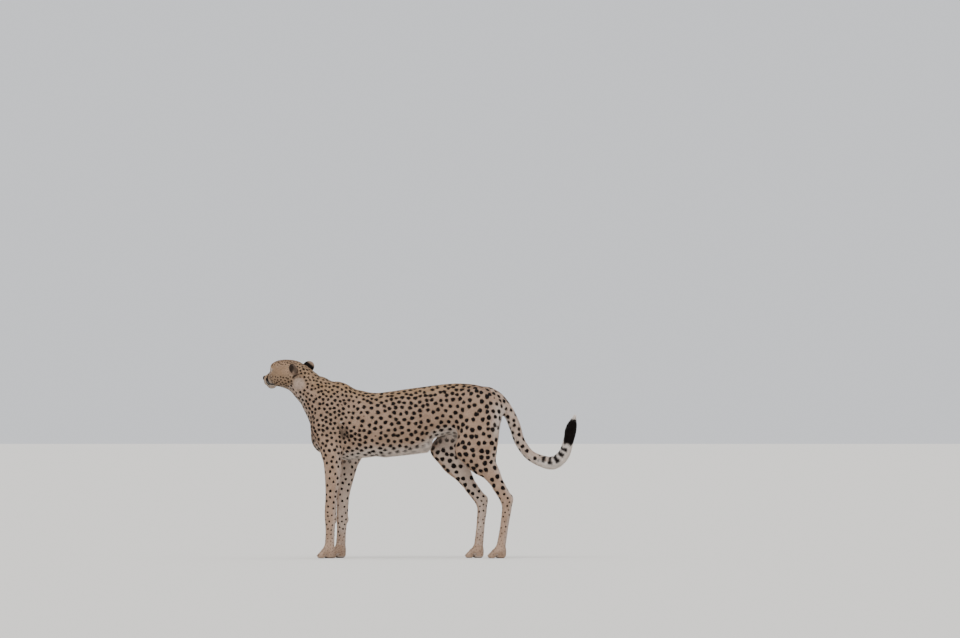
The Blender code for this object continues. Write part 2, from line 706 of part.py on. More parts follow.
COAT = (0.47, 0.33, 0.21)
COLOURS = {  # by a word in the piece's name; anything else has the colour of the coat
    "forearm": COAT,
    "ear": (0.03, 0.02, 0.015),
    "eye": (0.30, 0.13, 0.03),
    "nose": (0.012, 0.009, 0.008),
    "tail_5": (0.02, 0.015, 0.012),
    "tail_4": (0.60, 0.55, 0.48),
    "lower_jaw": (0.66, 0.60, 0.54),
    "paw": (0.52, 0.42, 0.32),
}


def paint(piece):
    """One plain material for each piece."""
    colour = next((shade for word, shade in COLOURS.items() if word in piece.name), COAT)
    material = bpy.data.materials.new(piece.name)
    material.use_nodes = True
    shader = material.node_tree.nodes["Principled BSDF"]
    shader.inputs["Base Color"].default_value = (*colour, 1.0)
    shader.inputs["Roughness"].default_value = 0.15 if "eye" in piece.name else 0.8
    shader.inputs["Metallic"].default_value = 0.0
    piece.data.materials.clear()
    piece.data.materials.append(material)
    piece.data.shade_smooth()
    piece.data.set_sharp_from_angle(angle=math.radians(50))


def boxed(pieces):
    """The corners of the box round all the pieces."""
    points = [point.co for piece in pieces for point in piece.data.vertices]
    low = Vector([min(point[axis] for point in points) for axis in range(3)])
    high = Vector([max(point[axis] for point in points) for axis in range(3)])
    return low, high


def centre(pieces):
    """Moves every piece alike, so that the box round them all stands with its middle over the origin."""
    low, high = boxed(pieces)
    shift = Matrix.Translation((-(low.x + high.x) / 2, -(low.y + high.y) / 2, 0))
    for piece in pieces:
        piece.data.transform(shift)


def main():
    for old in list(bpy.data.objects):
        bpy.data.objects.remove(old)
    parts = bpy.data.collections.new("cheetah")
    helpers = bpy.data.collections.new("cutters")
    for group in (parts, helpers):
        bpy.context.scene.collection.children.link(group)
    body = rounded_body(parts)
    ground = prism("ground", ((-1, -0.1), (1, -0.1), (1, 0), (-1, 0)), -0.3, 0.3, helpers)
    for cutter in [*cutters(helpers), *face_pieces(parts, helpers), ground]:
        boolean(body, cutter)
        apply_modifiers(body)
    pieces = name_pieces(body)
    add_claws(pieces, helpers)
    centre(parts.objects)
    for piece in parts.objects:
        paint(piece)
    for helper in helpers.objects:
        helper.hide_render = True
        helper.display_type = "WIRE"
    helpers.hide_render = True


if __name__ == "__main__":
    main()
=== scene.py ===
"""Looks of the standing cheetah: skin, coat, eyes, nose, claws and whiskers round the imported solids.

Metres, +Z up. The animal looks along -X with its head turned to +Y, and its left side faces -Y. The skin
comes from the same kind of field as the solids: at each point, about how far outside the coat's surface
that point lies. The skin is the level a coat's depth inside it, and thin tufts of hair rise from the skin
to the coat's surface, each lying along the body.
"""

import math

import bpy
import numpy as np
import openvdb
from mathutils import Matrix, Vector


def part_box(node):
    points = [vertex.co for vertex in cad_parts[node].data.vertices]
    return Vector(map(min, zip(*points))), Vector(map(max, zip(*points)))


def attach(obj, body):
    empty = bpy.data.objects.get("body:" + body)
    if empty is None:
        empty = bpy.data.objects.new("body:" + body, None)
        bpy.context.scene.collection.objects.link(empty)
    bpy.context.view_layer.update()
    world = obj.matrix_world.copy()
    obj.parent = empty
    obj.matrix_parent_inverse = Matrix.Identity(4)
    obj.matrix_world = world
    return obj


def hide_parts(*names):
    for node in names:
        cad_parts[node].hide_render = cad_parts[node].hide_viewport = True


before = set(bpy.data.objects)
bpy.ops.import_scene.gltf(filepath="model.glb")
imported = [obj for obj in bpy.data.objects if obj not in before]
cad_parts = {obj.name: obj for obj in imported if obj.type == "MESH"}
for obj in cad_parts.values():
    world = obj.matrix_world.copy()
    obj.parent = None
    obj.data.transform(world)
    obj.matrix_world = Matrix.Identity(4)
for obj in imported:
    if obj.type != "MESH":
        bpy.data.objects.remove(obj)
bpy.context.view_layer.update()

MM = 0.001
rng = np.random.default_rng(20)

# --- Body plan, in the solids' own measures

TRUNK_X = (-0.408, -0.380, -0.336, -0.269, -0.202, -0.136, -0.069, -0.002, 0.051, 0.109, 0.176, 0.243, 0.300)
TRUNK_TOP = (0.774, 0.782, 0.769, 0.748, 0.736, 0.742, 0.752, 0.761, 0.768, 0.775, 0.778, 0.770, 0.748)
TRUNK_BOTTOM = (0.458, 0.446, 0.436, 0.442, 0.450, 0.459, 0.470, 0.490, 0.524, 0.545, 0.552, 0.570, 0.600)
TRUNK_HALF = (0.074, 0.084, 0.091, 0.098, 0.100, 0.098, 0.091, 0.081, 0.074, 0.073, 0.076, 0.078, 0.066)

NECK = (
    ((-0.396, 0.000, 0.655), 0.108),
    ((-0.434, 0.000, 0.698), 0.094),
    ((-0.460, 0.000, 0.728), 0.084),
    ((-0.489, 0.001, 0.750), 0.074),
    ((-0.517, 0.006, 0.777), 0.070),
    ((-0.550, 0.016, 0.803), 0.060),
)
NECK_SLIM = 0.84

HEAD_AT = np.array((-0.599, 0.036, 0.820))
HEAD_YAW = math.radians(150)
HEAD_ROLL = math.radians(-5)
HEAD_X = (-0.082, -0.066, -0.040, -0.010, 0.020, 0.042, 0.056, 0.068, 0.080, 0.090, 0.095)
HEAD_TOP = (0.036, 0.049, 0.060, 0.064, 0.063, 0.058, 0.046, 0.025, 0.009, 0.002, -0.003)
HEAD_BOTTOM = (-0.032, -0.048, -0.060, -0.063, -0.060, -0.056, -0.056, -0.059, -0.059, -0.052, -0.044)
HEAD_HALF = (0.034, 0.050, 0.062, 0.066, 0.063, 0.055, 0.046, 0.038, 0.033, 0.027, 0.020)
EYE_AT = (0.043, 0.031, 0.018)
EYE_RADIUS = 0.0165
EYE_LOOK = (0.88, 0.47, 0.00)
NOSE_AT = (0.1070, 0.0, -0.018)
NOSE_SIZE = (0.0125, 0.0170, 0.0115)

TAIL = (
    ((0.300, 0.000, 0.722), 0.036),
    ((0.350, 0.000, 0.698), 0.031),
    ((0.392, 0.000, 0.648), 0.0265),
    ((0.420, 0.002, 0.586), 0.0265),
    ((0.441, 0.006, 0.522), 0.0245),
    ((0.482, 0.010, 0.463), 0.0240),
    ((0.538, 0.012, 0.432), 0.0270),
    ((0.592, 0.010, 0.424), 0.0305),
    ((0.636, 0.006, 0.458), 0.0275),
    ((0.657, 0.003, 0.515), 0.0245),
    ((0.669, 0.000, 0.568), 0.0270),
    ((0.682, 0.000, 0.614), 0.0130),
)

FORE_LEFT = {
    "shoulder": ((-0.430, -0.060, 0.585), 0.050),
    "elbow": ((-0.394, -0.068, 0.472), 0.042),
    "forearm": ((-0.388, -0.066, 0.372), 0.0375),
    "shank": ((-0.395, -0.062, 0.280), 0.0275),
    "carpus": ((-0.400, -0.059, 0.196), 0.0260),
    "cannon": ((-0.401, -0.057, 0.120), 0.0210),
    "knuckle": ((-0.404, -0.056, 0.050), 0.0220),
}
FORE_RIGHT = {
    "shoulder": ((-0.406, 0.060, 0.585), 0.050),
    "elbow": ((-0.306, 0.068, 0.468), 0.043),
    "forearm": ((-0.332, 0.066, 0.366), 0.0375),
    "shank": ((-0.344, 0.062, 0.276), 0.0275),
    "carpus": ((-0.349, 0.059, 0.194), 0.0260),
    "cannon": ((-0.352, 0.057, 0.120), 0.0210),
    "knuckle": ((-0.356, 0.056, 0.050), 0.0220),
}
HIND_LEFT = {
    "hip": ((0.252, -0.042, 0.686), 0.074),
    "knee": ((0.204, -0.068, 0.482), 0.046),
    "calf": ((0.262, -0.068, 0.432), 0.057),
    "shin": ((0.308, -0.065, 0.388), 0.042),
    "ankle": ((0.350, -0.062, 0.318), 0.0265),
    "hock": ((0.384, -0.060, 0.252), 0.0235),
    "cannon": ((0.374, -0.059, 0.150), 0.0190),
    "knuckle": ((0.358, -0.059, 0.050), 0.0205),
}
HIND_RIGHT = {
    "hip": ((0.238, 0.042, 0.686), 0.074),
    "knee": ((0.096, 0.068, 0.482), 0.046),
    "calf": ((0.146, 0.068, 0.430), 0.057),
    "shin": ((0.182, 0.065, 0.382), 0.042),
    "ankle": ((0.228, 0.062, 0.312), 0.0265),
    "hock": ((0.272, 0.060, 0.248), 0.0235),
    "cannon": ((0.268, 0.059, 0.150), 0.0190),
    "knuckle": ((0.258, 0.059, 0.050), 0.0205),
}
FORE_PAW = (0.0215, 0.046)  # from the paw's middle out to the outer toes, and from the knuckle to the tips
HIND_PAW = (0.0195, 0.050)
LEGS = (  # name, joints, side (-1 on the left) and paw
    ("fore_left", FORE_LEFT, -1, FORE_PAW),
    ("fore_right", FORE_RIGHT, 1, FORE_PAW),
    ("hind_left", HIND_LEFT, -1, HIND_PAW),
    ("hind_right", HIND_RIGHT, 1, HIND_PAW),
)


def unit(vectors):
    """Vectors brought to length one, along the last axis."""
    vectors = np.asarray(vectors, float)
    return vectors / np.maximum(np.linalg.norm(vectors, axis=-1, keepdims=True), 1e-12)


def size_of(vectors):
    """The length of each vector, along the last axis."""
    return np.linalg.norm(vectors, axis=-1)


def laid(vectors, normals):
    """Vectors laid flat on a surface with these normals, at length one."""
    return unit(vectors - normals * (vectors * normals).sum(axis=1, keepdims=True))


def turned(yaw, roll):
    """Rotation by roll about X and then by yaw about Z."""
    c, s, u, v = math.cos(yaw), math.sin(yaw), math.cos(roll), math.sin(roll)
    return np.array(((c, -s, 0), (s, c, 0), (0, 0, 1))) @ np.array(((1, 0, 0), (0, u, -v), (0, v, u)))


HEAD_TURN = turned(HEAD_YAW, HEAD_ROLL)


def head_point(x, y, z):
    """A place in the head's own frame (forward, to its left, up), as world coordinates."""
    return HEAD_AT + HEAD_TURN @ np.array((x, y, z))


def in_head(points):
    """World points in the head's own frame."""
    return (points - HEAD_AT) @ HEAD_TURN


def smooth(low, high, value):
    """0 below low, 1 above high, an S curve between."""
    t = np.clip((value - low) / (high - low), 0.0, 1.0)
    return t * t * (3 - 2 * t)


# --- The field of the body


class Shape:
    """A distance function with the box that holds its surface, and how far its joins with others reach."""

    def __init__(self, distance, low, high, reach=0.02, cuts=False):
        self.distance, self.reach, self.cuts = distance, reach, cuts
        self.low = np.array(low) - 2.0 * reach
        self.high = np.array(high) + 2.0 * reach


def in_frame(x, y, z, at, turn):
    """Coordinates in a frame of their own: its origin is at, and its axes are turn's columns."""
    x, y, z = x - at[0], y - at[1], z - at[2]
    return [x * turn[0, i] + y * turn[1, i] + z * turn[2, i] for i in range(3)]


def from_oval(own, radii):
    """About how far places lie outside an ellipsoid: n (n - 1) / |own / radii^2|, where n = |own / radii|."""
    near = np.sqrt(sum((at / radius) ** 2 for at, radius in zip(own, radii)))
    slope = np.sqrt(sum((at / radius**2) ** 2 for at, radius in zip(own, radii)))
    return near * (near - 1.0) / np.maximum(slope, 1e-6)


def taper(a, b, radius_a, radius_b, flat=1.0, **how):
    """A limb segment from a to b. Its radius runs from one to the other; flat scales it along Y."""
    a, b = np.array(a, float), np.array(b, float)
    run = b - a
    length = float(run @ run)

    def distance(x, y, z):
        t = ((x - a[0]) * run[0] + (y - a[1]) * run[1] + (z - a[2]) * run[2]) / length
        t = np.clip(t, 0.0, 1.0)
        off = (x - a[0] - t * run[0]) ** 2 + ((y - a[1] - t * run[1]) / flat) ** 2
        off += (z - a[2] - t * run[2]) ** 2
        return np.sqrt(off) - (radius_a + (radius_b - radius_a) * t)

    low = np.minimum(a - radius_a, b - radius_b)
    high = np.maximum(a + radius_a, b + radius_b)
    return Shape(distance, low, high, **how)


def egg(centre, radii, turn=None, **how):
    """An ellipsoid. turn is the rotation from its own axes to the world."""
    centre, radii = np.array(centre, float), np.array(radii, float)
    turn = np.eye(3) if turn is None else np.array(turn)

    def distance(x, y, z):
        return from_oval(in_frame(x, y, z, centre, turn), radii)

    most = radii.max()
    return Shape(distance, centre - most, centre + most, **how)


def profile(stations, values):
    """A smooth curve through the values: cubic pieces whose slopes come from the neighbours."""
    stations, values = np.array(stations, float), np.array(values, float)
    slopes = np.gradient(values, stations)

    def value(x):
        i = np.clip(np.searchsorted(stations, x) - 1, 0, len(stations) - 2)
        gap = stations[i + 1] - stations[i]
        t = np.clip((x - stations[i]) / gap, 0.0, 1.0)
        start = (1 + 2 * t) * (1 - t) ** 2 * values[i] + t * (1 - t) ** 2 * gap * slopes[i]
        return start + t * t * (3 - 2 * t) * values[i + 1] + t * t * (t - 1) * gap * slopes[i + 1]

    return value


def loft(stations, top, bottom, half, at=(0, 0, 0), turn=None, **how):
    """An oval section carried along its own x axis; past each end it closes as a round cap."""
    at = np.array(at, float)
    turn = np.eye(3) if turn is None else np.array(turn)
    middle = profile(stations, (np.array(top) + np.array(bottom)) / 2)
    tall = profile(stations, (np.array(top) - np.array(bottom)) / 2)
    wide = profile(stations, half)

    def distance(x, y, z):
        ahead, across, up = in_frame(x, y, z, at, turn)
        along = np.clip(ahead, stations[0], stations[-1])
        w, h = wide(along), tall(along)
        return from_oval((across, up - middle(along), ahead - along), (w, h, np.minimum(w, h)))

    most = max(half)
    start, end = stations[0] - 0.8 * most, stations[-1] + 0.8 * most
    corners = np.meshgrid((start, end), (-most, most), (min(bottom), max(top)), indexing="ij")
    corners = np.stack(corners, axis=-1).reshape(-1, 3) @ turn.T + at
    return Shape(distance, corners.min(0), corners.max(0), **how)


def curve_through(joints, steps=5):
    """Points and radii along a smooth curve through the joints, steps to each span."""
    points = np.array([point for point, _ in joints], float)
    knots = np.arange(len(joints))
    at = np.linspace(0, len(joints) - 1, steps * (len(joints) - 1) + 1)
    line = np.stack([profile(knots, points[:, axis])(at) for axis in range(3)], axis=1)
    return line, profile(knots, [radius for _, radius in joints])(at)


def limb(joints, flat=1.0, steps=5, **how):
    """A round limb along a smooth curve through the joints, each a point with the radius there."""
    line, radii = curve_through(joints, steps)
    ends = zip(line, line[1:], radii, radii[1:])
    parts = [taper(a, b, radius_a, radius_b, flat, **how) for a, b, radius_a, radius_b in ends]

    def distance(x, y, z):
        nearest = parts[0].distance(x, y, z)
        for part in parts[1:]:
            nearest = np.minimum(nearest, part.distance(x, y, z))
        return nearest

    most = radii.max()
    return Shape(distance, line.min(0) - most, line.max(0) + most, **how)


def blend(a, b, reach):
    """Smooth union of two distances: they flow together where they are within reach of each other."""
    mix = np.clip(0.5 + 0.5 * (b - a) / reach, 0.0, 1.0)
    return b + (a - b) * mix - reach * mix * (1.0 - mix)


def add_up(field, shape, x, y, z):
    """The field with one more shape joined to it, or cut from it."""
    distance = shape.distance(x, y, z)
    if shape.cuts:
        return -blend(-field, distance, shape.reach)
    return blend(field, distance, shape.reach)


def trunk_shapes():
    """Rib cage and belly as one loft, the neck rising from the chest, brisket and the belly's loose skin."""
    yield loft(TRUNK_X, TRUNK_TOP, TRUNK_BOTTOM, TRUNK_HALF, reach=0.03)
    yield limb(NECK, NECK_SLIM, reach=0.03)
    yield egg((-0.436, 0, 0.538), (0.049, 0.050, 0.064), reach=0.03)
    yield taper((-0.150, 0, 0.503), (0.012, 0, 0.502), 0.046, 0.037, 1.10, reach=0.04)


def fore_shapes(leg, side):
    """Shoulder blade, upper arm, forearm and pastern. side is -1 on the left."""
    shoulder, elbow = leg["shoulder"][0], leg["elbow"][0]
    withers = (-0.352, side * 0.030, 0.738)
    yield taper(withers, shoulder, 0.030, 0.048, 0.80, reach=0.05)
    yield taper(shoulder, elbow, 0.046, 0.040, 0.80, reach=0.03)
    triceps = np.add(elbow, (0.016, -side * 0.008, 0.130))
    yield taper(triceps, elbow, 0.048, 0.036, 0.66, reach=0.03)
    joints = ("elbow", "forearm", "shank", "carpus", "cannon", "knuckle")
    yield limb([leg[name] for name in joints], 0.86, reach=0.02)
    yield egg(np.add(elbow, (0.018, 0, 0.018)), (0.022, 0.019, 0.026), reach=0.016)
    yield egg(np.add(leg["carpus"][0], (0.018, 0, -0.022)), (0.010, 0.010, 0.014), reach=0.012)


def hind_shapes(leg, side):
    """Thigh with its ham, calf, heel and pastern."""
    hip, knee, calf, hock = (np.array(leg[name][0]) for name in ("hip", "knee", "calf", "hock"))
    seat = np.array((0.308, side * 0.040, 0.655))
    ham = knee * 0.6 + calf * 0.4 + (0.060, 0, 0.075)
    back_of_knee = (knee + calf) / 2 + (0.046, 0, 0.020)
    yield taper(hip, knee, 0.074, 0.044, 0.76, reach=0.04)
    yield limb([(seat, 0.056), (ham, 0.058), (back_of_knee, 0.052)], 0.68, reach=0.04)
    yield taper(hip + (0, 0, -0.03), back_of_knee, 0.074, 0.050, 0.70, reach=0.04)
    yield limb([leg[name] for name in ("knee", "calf", "shin", "ankle", "hock")], 0.70, reach=0.03)
    yield limb([leg[name] for name in ("ankle", "hock", "cannon", "knuckle")], 0.90, reach=0.012)
    yield egg(hock + (0.014, 0, 0.014), (0.013, 0.013, 0.018), reach=0.014)


def toes(leg, spread, length):
    """The root, the raised joint and the tip of each of a paw's four toes; the outer ones stand back."""
    x, y, _ = leg["knuckle"][0]
    for place in (-1.0, -0.34, 0.34, 1.0):
        back = 0.010 * abs(place)
        root = (x - 0.010 + back, y + 0.75 * place * spread, 0.034)
        joint = (x - length * 0.62 + back, y + 0.92 * place * spread, 0.0285)
        yield root, joint, (x - length + back, y + place * spread, 0.0120)


def paw_shapes(leg, spread, length):
    """Four toes with raised knuckles round one main pad."""
    x, y, _ = leg["knuckle"][0]
    yield egg((x - 0.006, y, 0.026), (0.030, spread * 1.25, 0.028), reach=0.016)
    yield egg((x + 0.002, y, 0.012), (0.018, spread * 0.95, 0.014), reach=0.010)
    for root, joint, tip in toes(leg, spread, length):
        yield taper(root, joint, 0.0125, 0.0120, reach=0.008)
        yield taper(joint, tip, 0.0120, 0.0118, reach=0.006)
        yield egg((tip[0] + 0.003, tip[1], 0.007), (0.013, 0.0095, 0.0095), reach=0.005)


def sided(place, side):
    """A place or a way in the head's frame, for the side it is given for (1, the left) or mirrored (-1)."""
    return place[0], side * place[1], place[2]


def eye_frame(side):
    """Centre of an eye, and its axes: the way it looks, across it, and up. side is 1 on the left."""
    look = unit(sided(EYE_LOOK, side))
    across = unit(np.cross((0, 0, 1), look))
    own = np.stack((look, across, np.cross(look, across)), axis=1)
    return head_point(*sided(EYE_AT, side)), HEAD_TURN @ own


def skull_shapes():
    """Braincase to muzzle as one loft, with brows, cheeks, whisker pads and chin, and sockets cut in."""
    yield loft(HEAD_X, HEAD_TOP, HEAD_BOTTOM, HEAD_HALF, HEAD_AT, HEAD_TURN, reach=0.030)
    for side in (1, -1):
        yield egg(head_point(0.014, side * 0.044, -0.016), (0.034, 0.020, 0.030), HEAD_TURN, reach=0.02)
        yield egg(head_point(0.084, side * 0.017, -0.032), (0.018, 0.019, 0.020), HEAD_TURN, reach=0.012)
        brow_in, brow_out = head_point(0.052, side * 0.010, 0.036), head_point(0.042, side * 0.036, 0.036)
        yield taper(brow_in, brow_out, 0.0110, 0.0110, reach=0.020)
        centre, own = eye_frame(side)
        front = centre + own[:, 0] * EYE_RADIUS
        yield egg(front, (0.009, 0.014, 0.011), HEAD_TURN, cuts=True, reach=0.008)
    yield egg(head_point(0.076, 0, -0.053), (0.016, 0.018, 0.012), HEAD_TURN, reach=0.012)


EAR_BASE = (-0.072, 0.057, 0.016)
EAR_UP = (-0.50, 0.50, 0.70)
EAR_OPEN = (0.12, 0.98, 0.0)
EAR_CUP = (0.013, 0.0, 0.007)  # the hollow's middle: ahead of the ear's own and above it
EAR_HOLLOW = (0.013, 0.0205, 0.0200)  # its radii


def ear_frame(side):
    """Middle of an ear, and its axes: where its cup faces, across it, and up to its tip."""
    up = unit(sided(EAR_UP, side))
    across = unit(np.cross(up, sided(EAR_OPEN, side)))
    turn = HEAD_TURN @ np.stack((np.cross(across, up), across, up), axis=1)
    return head_point(*sided(EAR_BASE, side)) + turn @ np.array((0, 0, 0.014)), turn


def ear_shapes(side):
    """A rounded cup: an egg with a smaller one taken out of its open side."""
    middle, turn = ear_frame(side)
    yield egg(middle, (0.0145, 0.026, 0.028), turn, reach=0.016)
    yield egg(middle + turn @ np.array(EAR_CUP), EAR_HOLLOW, turn, cuts=True, reach=0.004)


def outline_shapes():
    """Every shape of the flesh, in the order they are joined: the coat's outer surface."""
    yield from trunk_shapes()
    for name, leg, side, paw in LEGS:
        yield from fore_shapes(leg, side) if name.startswith("fore") else hind_shapes(leg, side)
        yield from paw_shapes(leg, *paw)
    yield limb(TAIL, reach=0.03)
    yield from skull_shapes()
    for side in (1, -1):
        yield from ear_shapes(side)


EMPTY = 0.05  # the field's value far from every shape


def field_at(shapes, points):
    """The joined field at single points."""
    field = np.full(len(points), EMPTY)
    for shape in shapes:
        near = np.flatnonzero(((points > shape.low) & (points < shape.high)).all(axis=1))
        field[near] = add_up(field[near], shape, *points[near].T)
    return field


def slope_at(shapes, points, step=0.0004):
    """The field's gradient, from values a step apart on each axis."""
    steps = step * np.eye(3)
    sides = [field_at(shapes, points + along) - field_at(shapes, points - along) for along in steps]
    return np.stack(sides, axis=1) / (2 * step)


def settle(shapes, points, level, rounds=2):
    """Moves points along the field's gradient until the field there is the given level, with the step held
    back where the gradient is faint."""
    for _ in range(rounds):
        slope = slope_at(shapes, points)
        miss = field_at(shapes, points) - level
        points = points - slope * (miss / np.maximum((slope**2).sum(axis=1), 0.1))[:, None]
    return points


OUTLINE = list(outline_shapes())

# --- Folds of the skin: lids, lips, toe creases and the fold behind the arm

FACE_LINES = {  # in the head's frame, for the left side; the right side mirrors them
    "lip": (
        (0.101, 0.000, -0.0445),
        (0.097, 0.012, -0.0480),
        (0.088, 0.025, -0.0515),
        (0.072, 0.032, -0.0540),
        (0.055, 0.035, -0.0545),
        (0.040, 0.040, -0.0520),
    ),
    "philtrum": ((0.110, 0.000, -0.026), (0.106, 0.000, -0.036), (0.101, 0.000, -0.0445)),
    "tear": (
        (0.056, 0.021, 0.015),
        (0.064, 0.025, 0.005),
        (0.0770, 0.0290, -0.010),
        (0.0790, 0.0335, -0.024),
        (0.0740, 0.0350, -0.039),
        (0.0640, 0.0355, -0.0510),
        (0.0510, 0.0375, -0.0550),
    ),
    "behind_eye": ((0.036, 0.044, 0.018), (0.022, 0.056, 0.012), (0.010, 0.060, 0.006)),
    "below_ear": ((-0.088, 0.043, 0.002), (-0.076, 0.050, -0.004), (-0.064, 0.055, -0.013)),
    # where a shadow is painted at the back of the jaw
    "jaw_shadow": ((-0.050, 0.052, -0.034), (-0.052, 0.040, -0.050), (-0.052, 0.026, -0.060)),
}


def face_lines():
    """The face's lines by name and side, as points on the coat's outer surface. side is 1 on the left."""
    lines = {}
    for name, places in FACE_LINES.items():
        for side in (1, -1):
            joints = [(head_point(*sided(place, side)), 0.0) for place in places]
            lines[name, side], _ = curve_through(joints, 6)
    settled = settle(OUTLINE, np.concatenate(list(lines.values())), 0.0, 3)
    ends = np.cumsum([len(line) for line in lines.values()])
    return dict(zip(lines, np.split(settled, ends[:-1])))


ON_FACE = face_lines()


def crease(line, radius, reach, sunk=0.0):
    """A shallow groove along a line on the surface, its middle sunk below it. radius: one, or one a point."""
    radii = np.broadcast_to(radius, len(line))
    return limb(list(zip(settle(OUTLINE, line, -sunk), radii)), steps=2, cuts=True, reach=reach)


def arm_fold(leg, side):
    """The line down the flank where the upper arm's back edge meets the ribs."""
    offsets = ((0.043, 0.03, 0.118), (0.049, 0.03, 0.100), (0.056, 0.03, 0.079), (0.061, 0.03, 0.056))
    return np.array([np.array(leg["elbow"][0]) + (x, side * y, z) for x, y, z in offsets])


TOE_GROOVE = (0.0010, 0.0024, 0.0032, 0.0034, 0.0034)  # its radius, deepening toward the tips


def toe_creases(leg, paw):
    """The lines between neighbouring toes on the paw's surface, from above the joints to between the tips."""
    tips = list(toes(leg, *paw))
    t = np.linspace(0, 1, len(TOE_GROOVE))[:, None]
    for (_, joint_a, tip_a), (_, joint_b, tip_b) in zip(tips, tips[1:]):
        start = np.add(joint_a, joint_b) / 2 + (0.004, 0, 0.011)
        end = np.add(tip_a, tip_b) / 2 + (-0.006, 0, 0.003)
        yield settle(OUTLINE, start + (end - start) * t, 0.0, 4)


def fold_shapes():
    """What the skin adds to the outline. Lids are a thin ball round the eye with an almond opening."""
    for side in (1, -1):
        centre, _ = eye_frame(side)
        yield egg(centre, [EYE_RADIUS + 0.0030] * 3, reach=0.005)
        yield almond(side)
        yield crease(ON_FACE["lip", side], 0.0021, 0.0030)
    yield crease(ON_FACE["philtrum", 1], 0.0012, 0.0020)
    for name, leg, side, paw in LEGS:
        for line in toe_creases(leg, paw):
            yield crease(line, TOE_GROOVE, 0.0045)
        if name.startswith("fore"):
            yield crease(arm_fold(leg, side), 0.0120, 0.014, 0.003)


def turned_lid(side):
    """The almond's tilt about the way the eye looks: its outer corner stands a little higher."""
    angle = math.radians(14) * side
    c, s = math.cos(angle), math.sin(angle)
    return np.array(((1, 0, 0), (0, c, -s), (0, s, c)))


LID = (0.0122, 0.0060, 0.0070)  # half the opening's width, and its height above and below the corners


def almond(side):
    """The opening between the lids, cut through them along the eye's look: the overlap of two circles, one
    that passes above the corners and one that passes below."""
    centre, turn = eye_frame(side)
    turn = turn @ turned_lid(side)
    half, *heights = LID

    def distance(x, y, z):
        ahead, across, up = in_frame(x, y, z, centre, turn)
        gap = 0.006 - ahead
        for height, way in zip(heights, (1, -1)):
            drop = (half**2 / height - height) / 2
            gap = np.maximum(gap, np.sqrt(across**2 + (up + way * drop) ** 2) - drop - height)
        return gap

    middle = centre + turn[:, 0] * 0.016
    return Shape(distance, middle - 0.017, middle + 0.017, reach=0.0014, cuts=True)


LIDS = {side: almond(side) for side in (1, -1)}


def lid_gap(points, side):
    """How far points near an eye lie outside the opening between its lids; far from the eye, a metre."""
    centre, turn = eye_frame(side)
    # In front of the eyeball's middle, and within about two of its radii
    near = (size_of(points - centre) < 0.034) & ((points - centre) @ turn[:, 0] > 0.002)
    return np.where(near, LIDS[side].distance(*points.T), 1.0)


# --- Strands: the body's lengths, which say how the coat lies and what it is like there


def off_segment(points, a, b):
    """How far along the segment from a to b each point lies, from 0 to 1, and the way from there to it."""
    run = b - a
    t = np.clip((points - a) @ run / (run @ run), 0.0, 1.0)
    return t, points - a - t[:, None] * run


def line_distance(points, line):
    """How far points lie from a line of points."""
    best = np.full(len(points), np.inf)
    for a, b in zip(line, line[1:]):
        best = np.minimum(best, size_of(off_segment(points, a, b)[1]))
    return best


COATS = {  # in millimetres: depth, hair length, hair width, gap between tufts, gap between spots, spot radius
    "face": (0.9, 3.7, 0.56, 0.98, 8.8, 2.4),
    "crown": (1.8, 5.5, 0.80, 1.25, 11.2, 3.5),
    "nape": (4.0, 11.5, 1.20, 1.80, 16.8, 5.9),
    "neck": (3.2, 9.0, 1.20, 1.80, 16.8, 6.4),
    "shoulder": (3.0, 8.6, 1.20, 1.85, 20.1, 7.2),
    "flank": (3.2, 9.2, 1.30, 1.95, 26.4, 9.2),
    "rump": (3.0, 8.8, 1.30, 1.95, 26.8, 9.7),
    "thigh": (2.8, 8.2, 1.25, 1.90, 28.2, 10.3),
    "shin": (2.0, 6.8, 1.05, 1.70, 31.5, 10.5),
    "arm": (2.4, 7.4, 1.10, 1.75, 21.2, 7.2),
    "shank": (1.8, 6.2, 1.00, 1.60, 25.0, 6.0),
    "foot": (1.4, 5.0, 0.85, 1.45, 20.0, 4.2),
    "paw": (0.8, 3.0, 0.60, 1.15, 12.0, 2.0),
    "tail": (3.4, 9.5, 1.15, 1.70, 26.0, 8.4),
    "brush": (7.0, 24.0, 1.50, 1.60, 25.0, 7.6),
    "ear": (0.8, 3.4, 0.60, 1.00, 9.0, 1.0),
}
DEPTH, LENGTH, WIDTH, PITCH, GAP, SPOT = range(6)


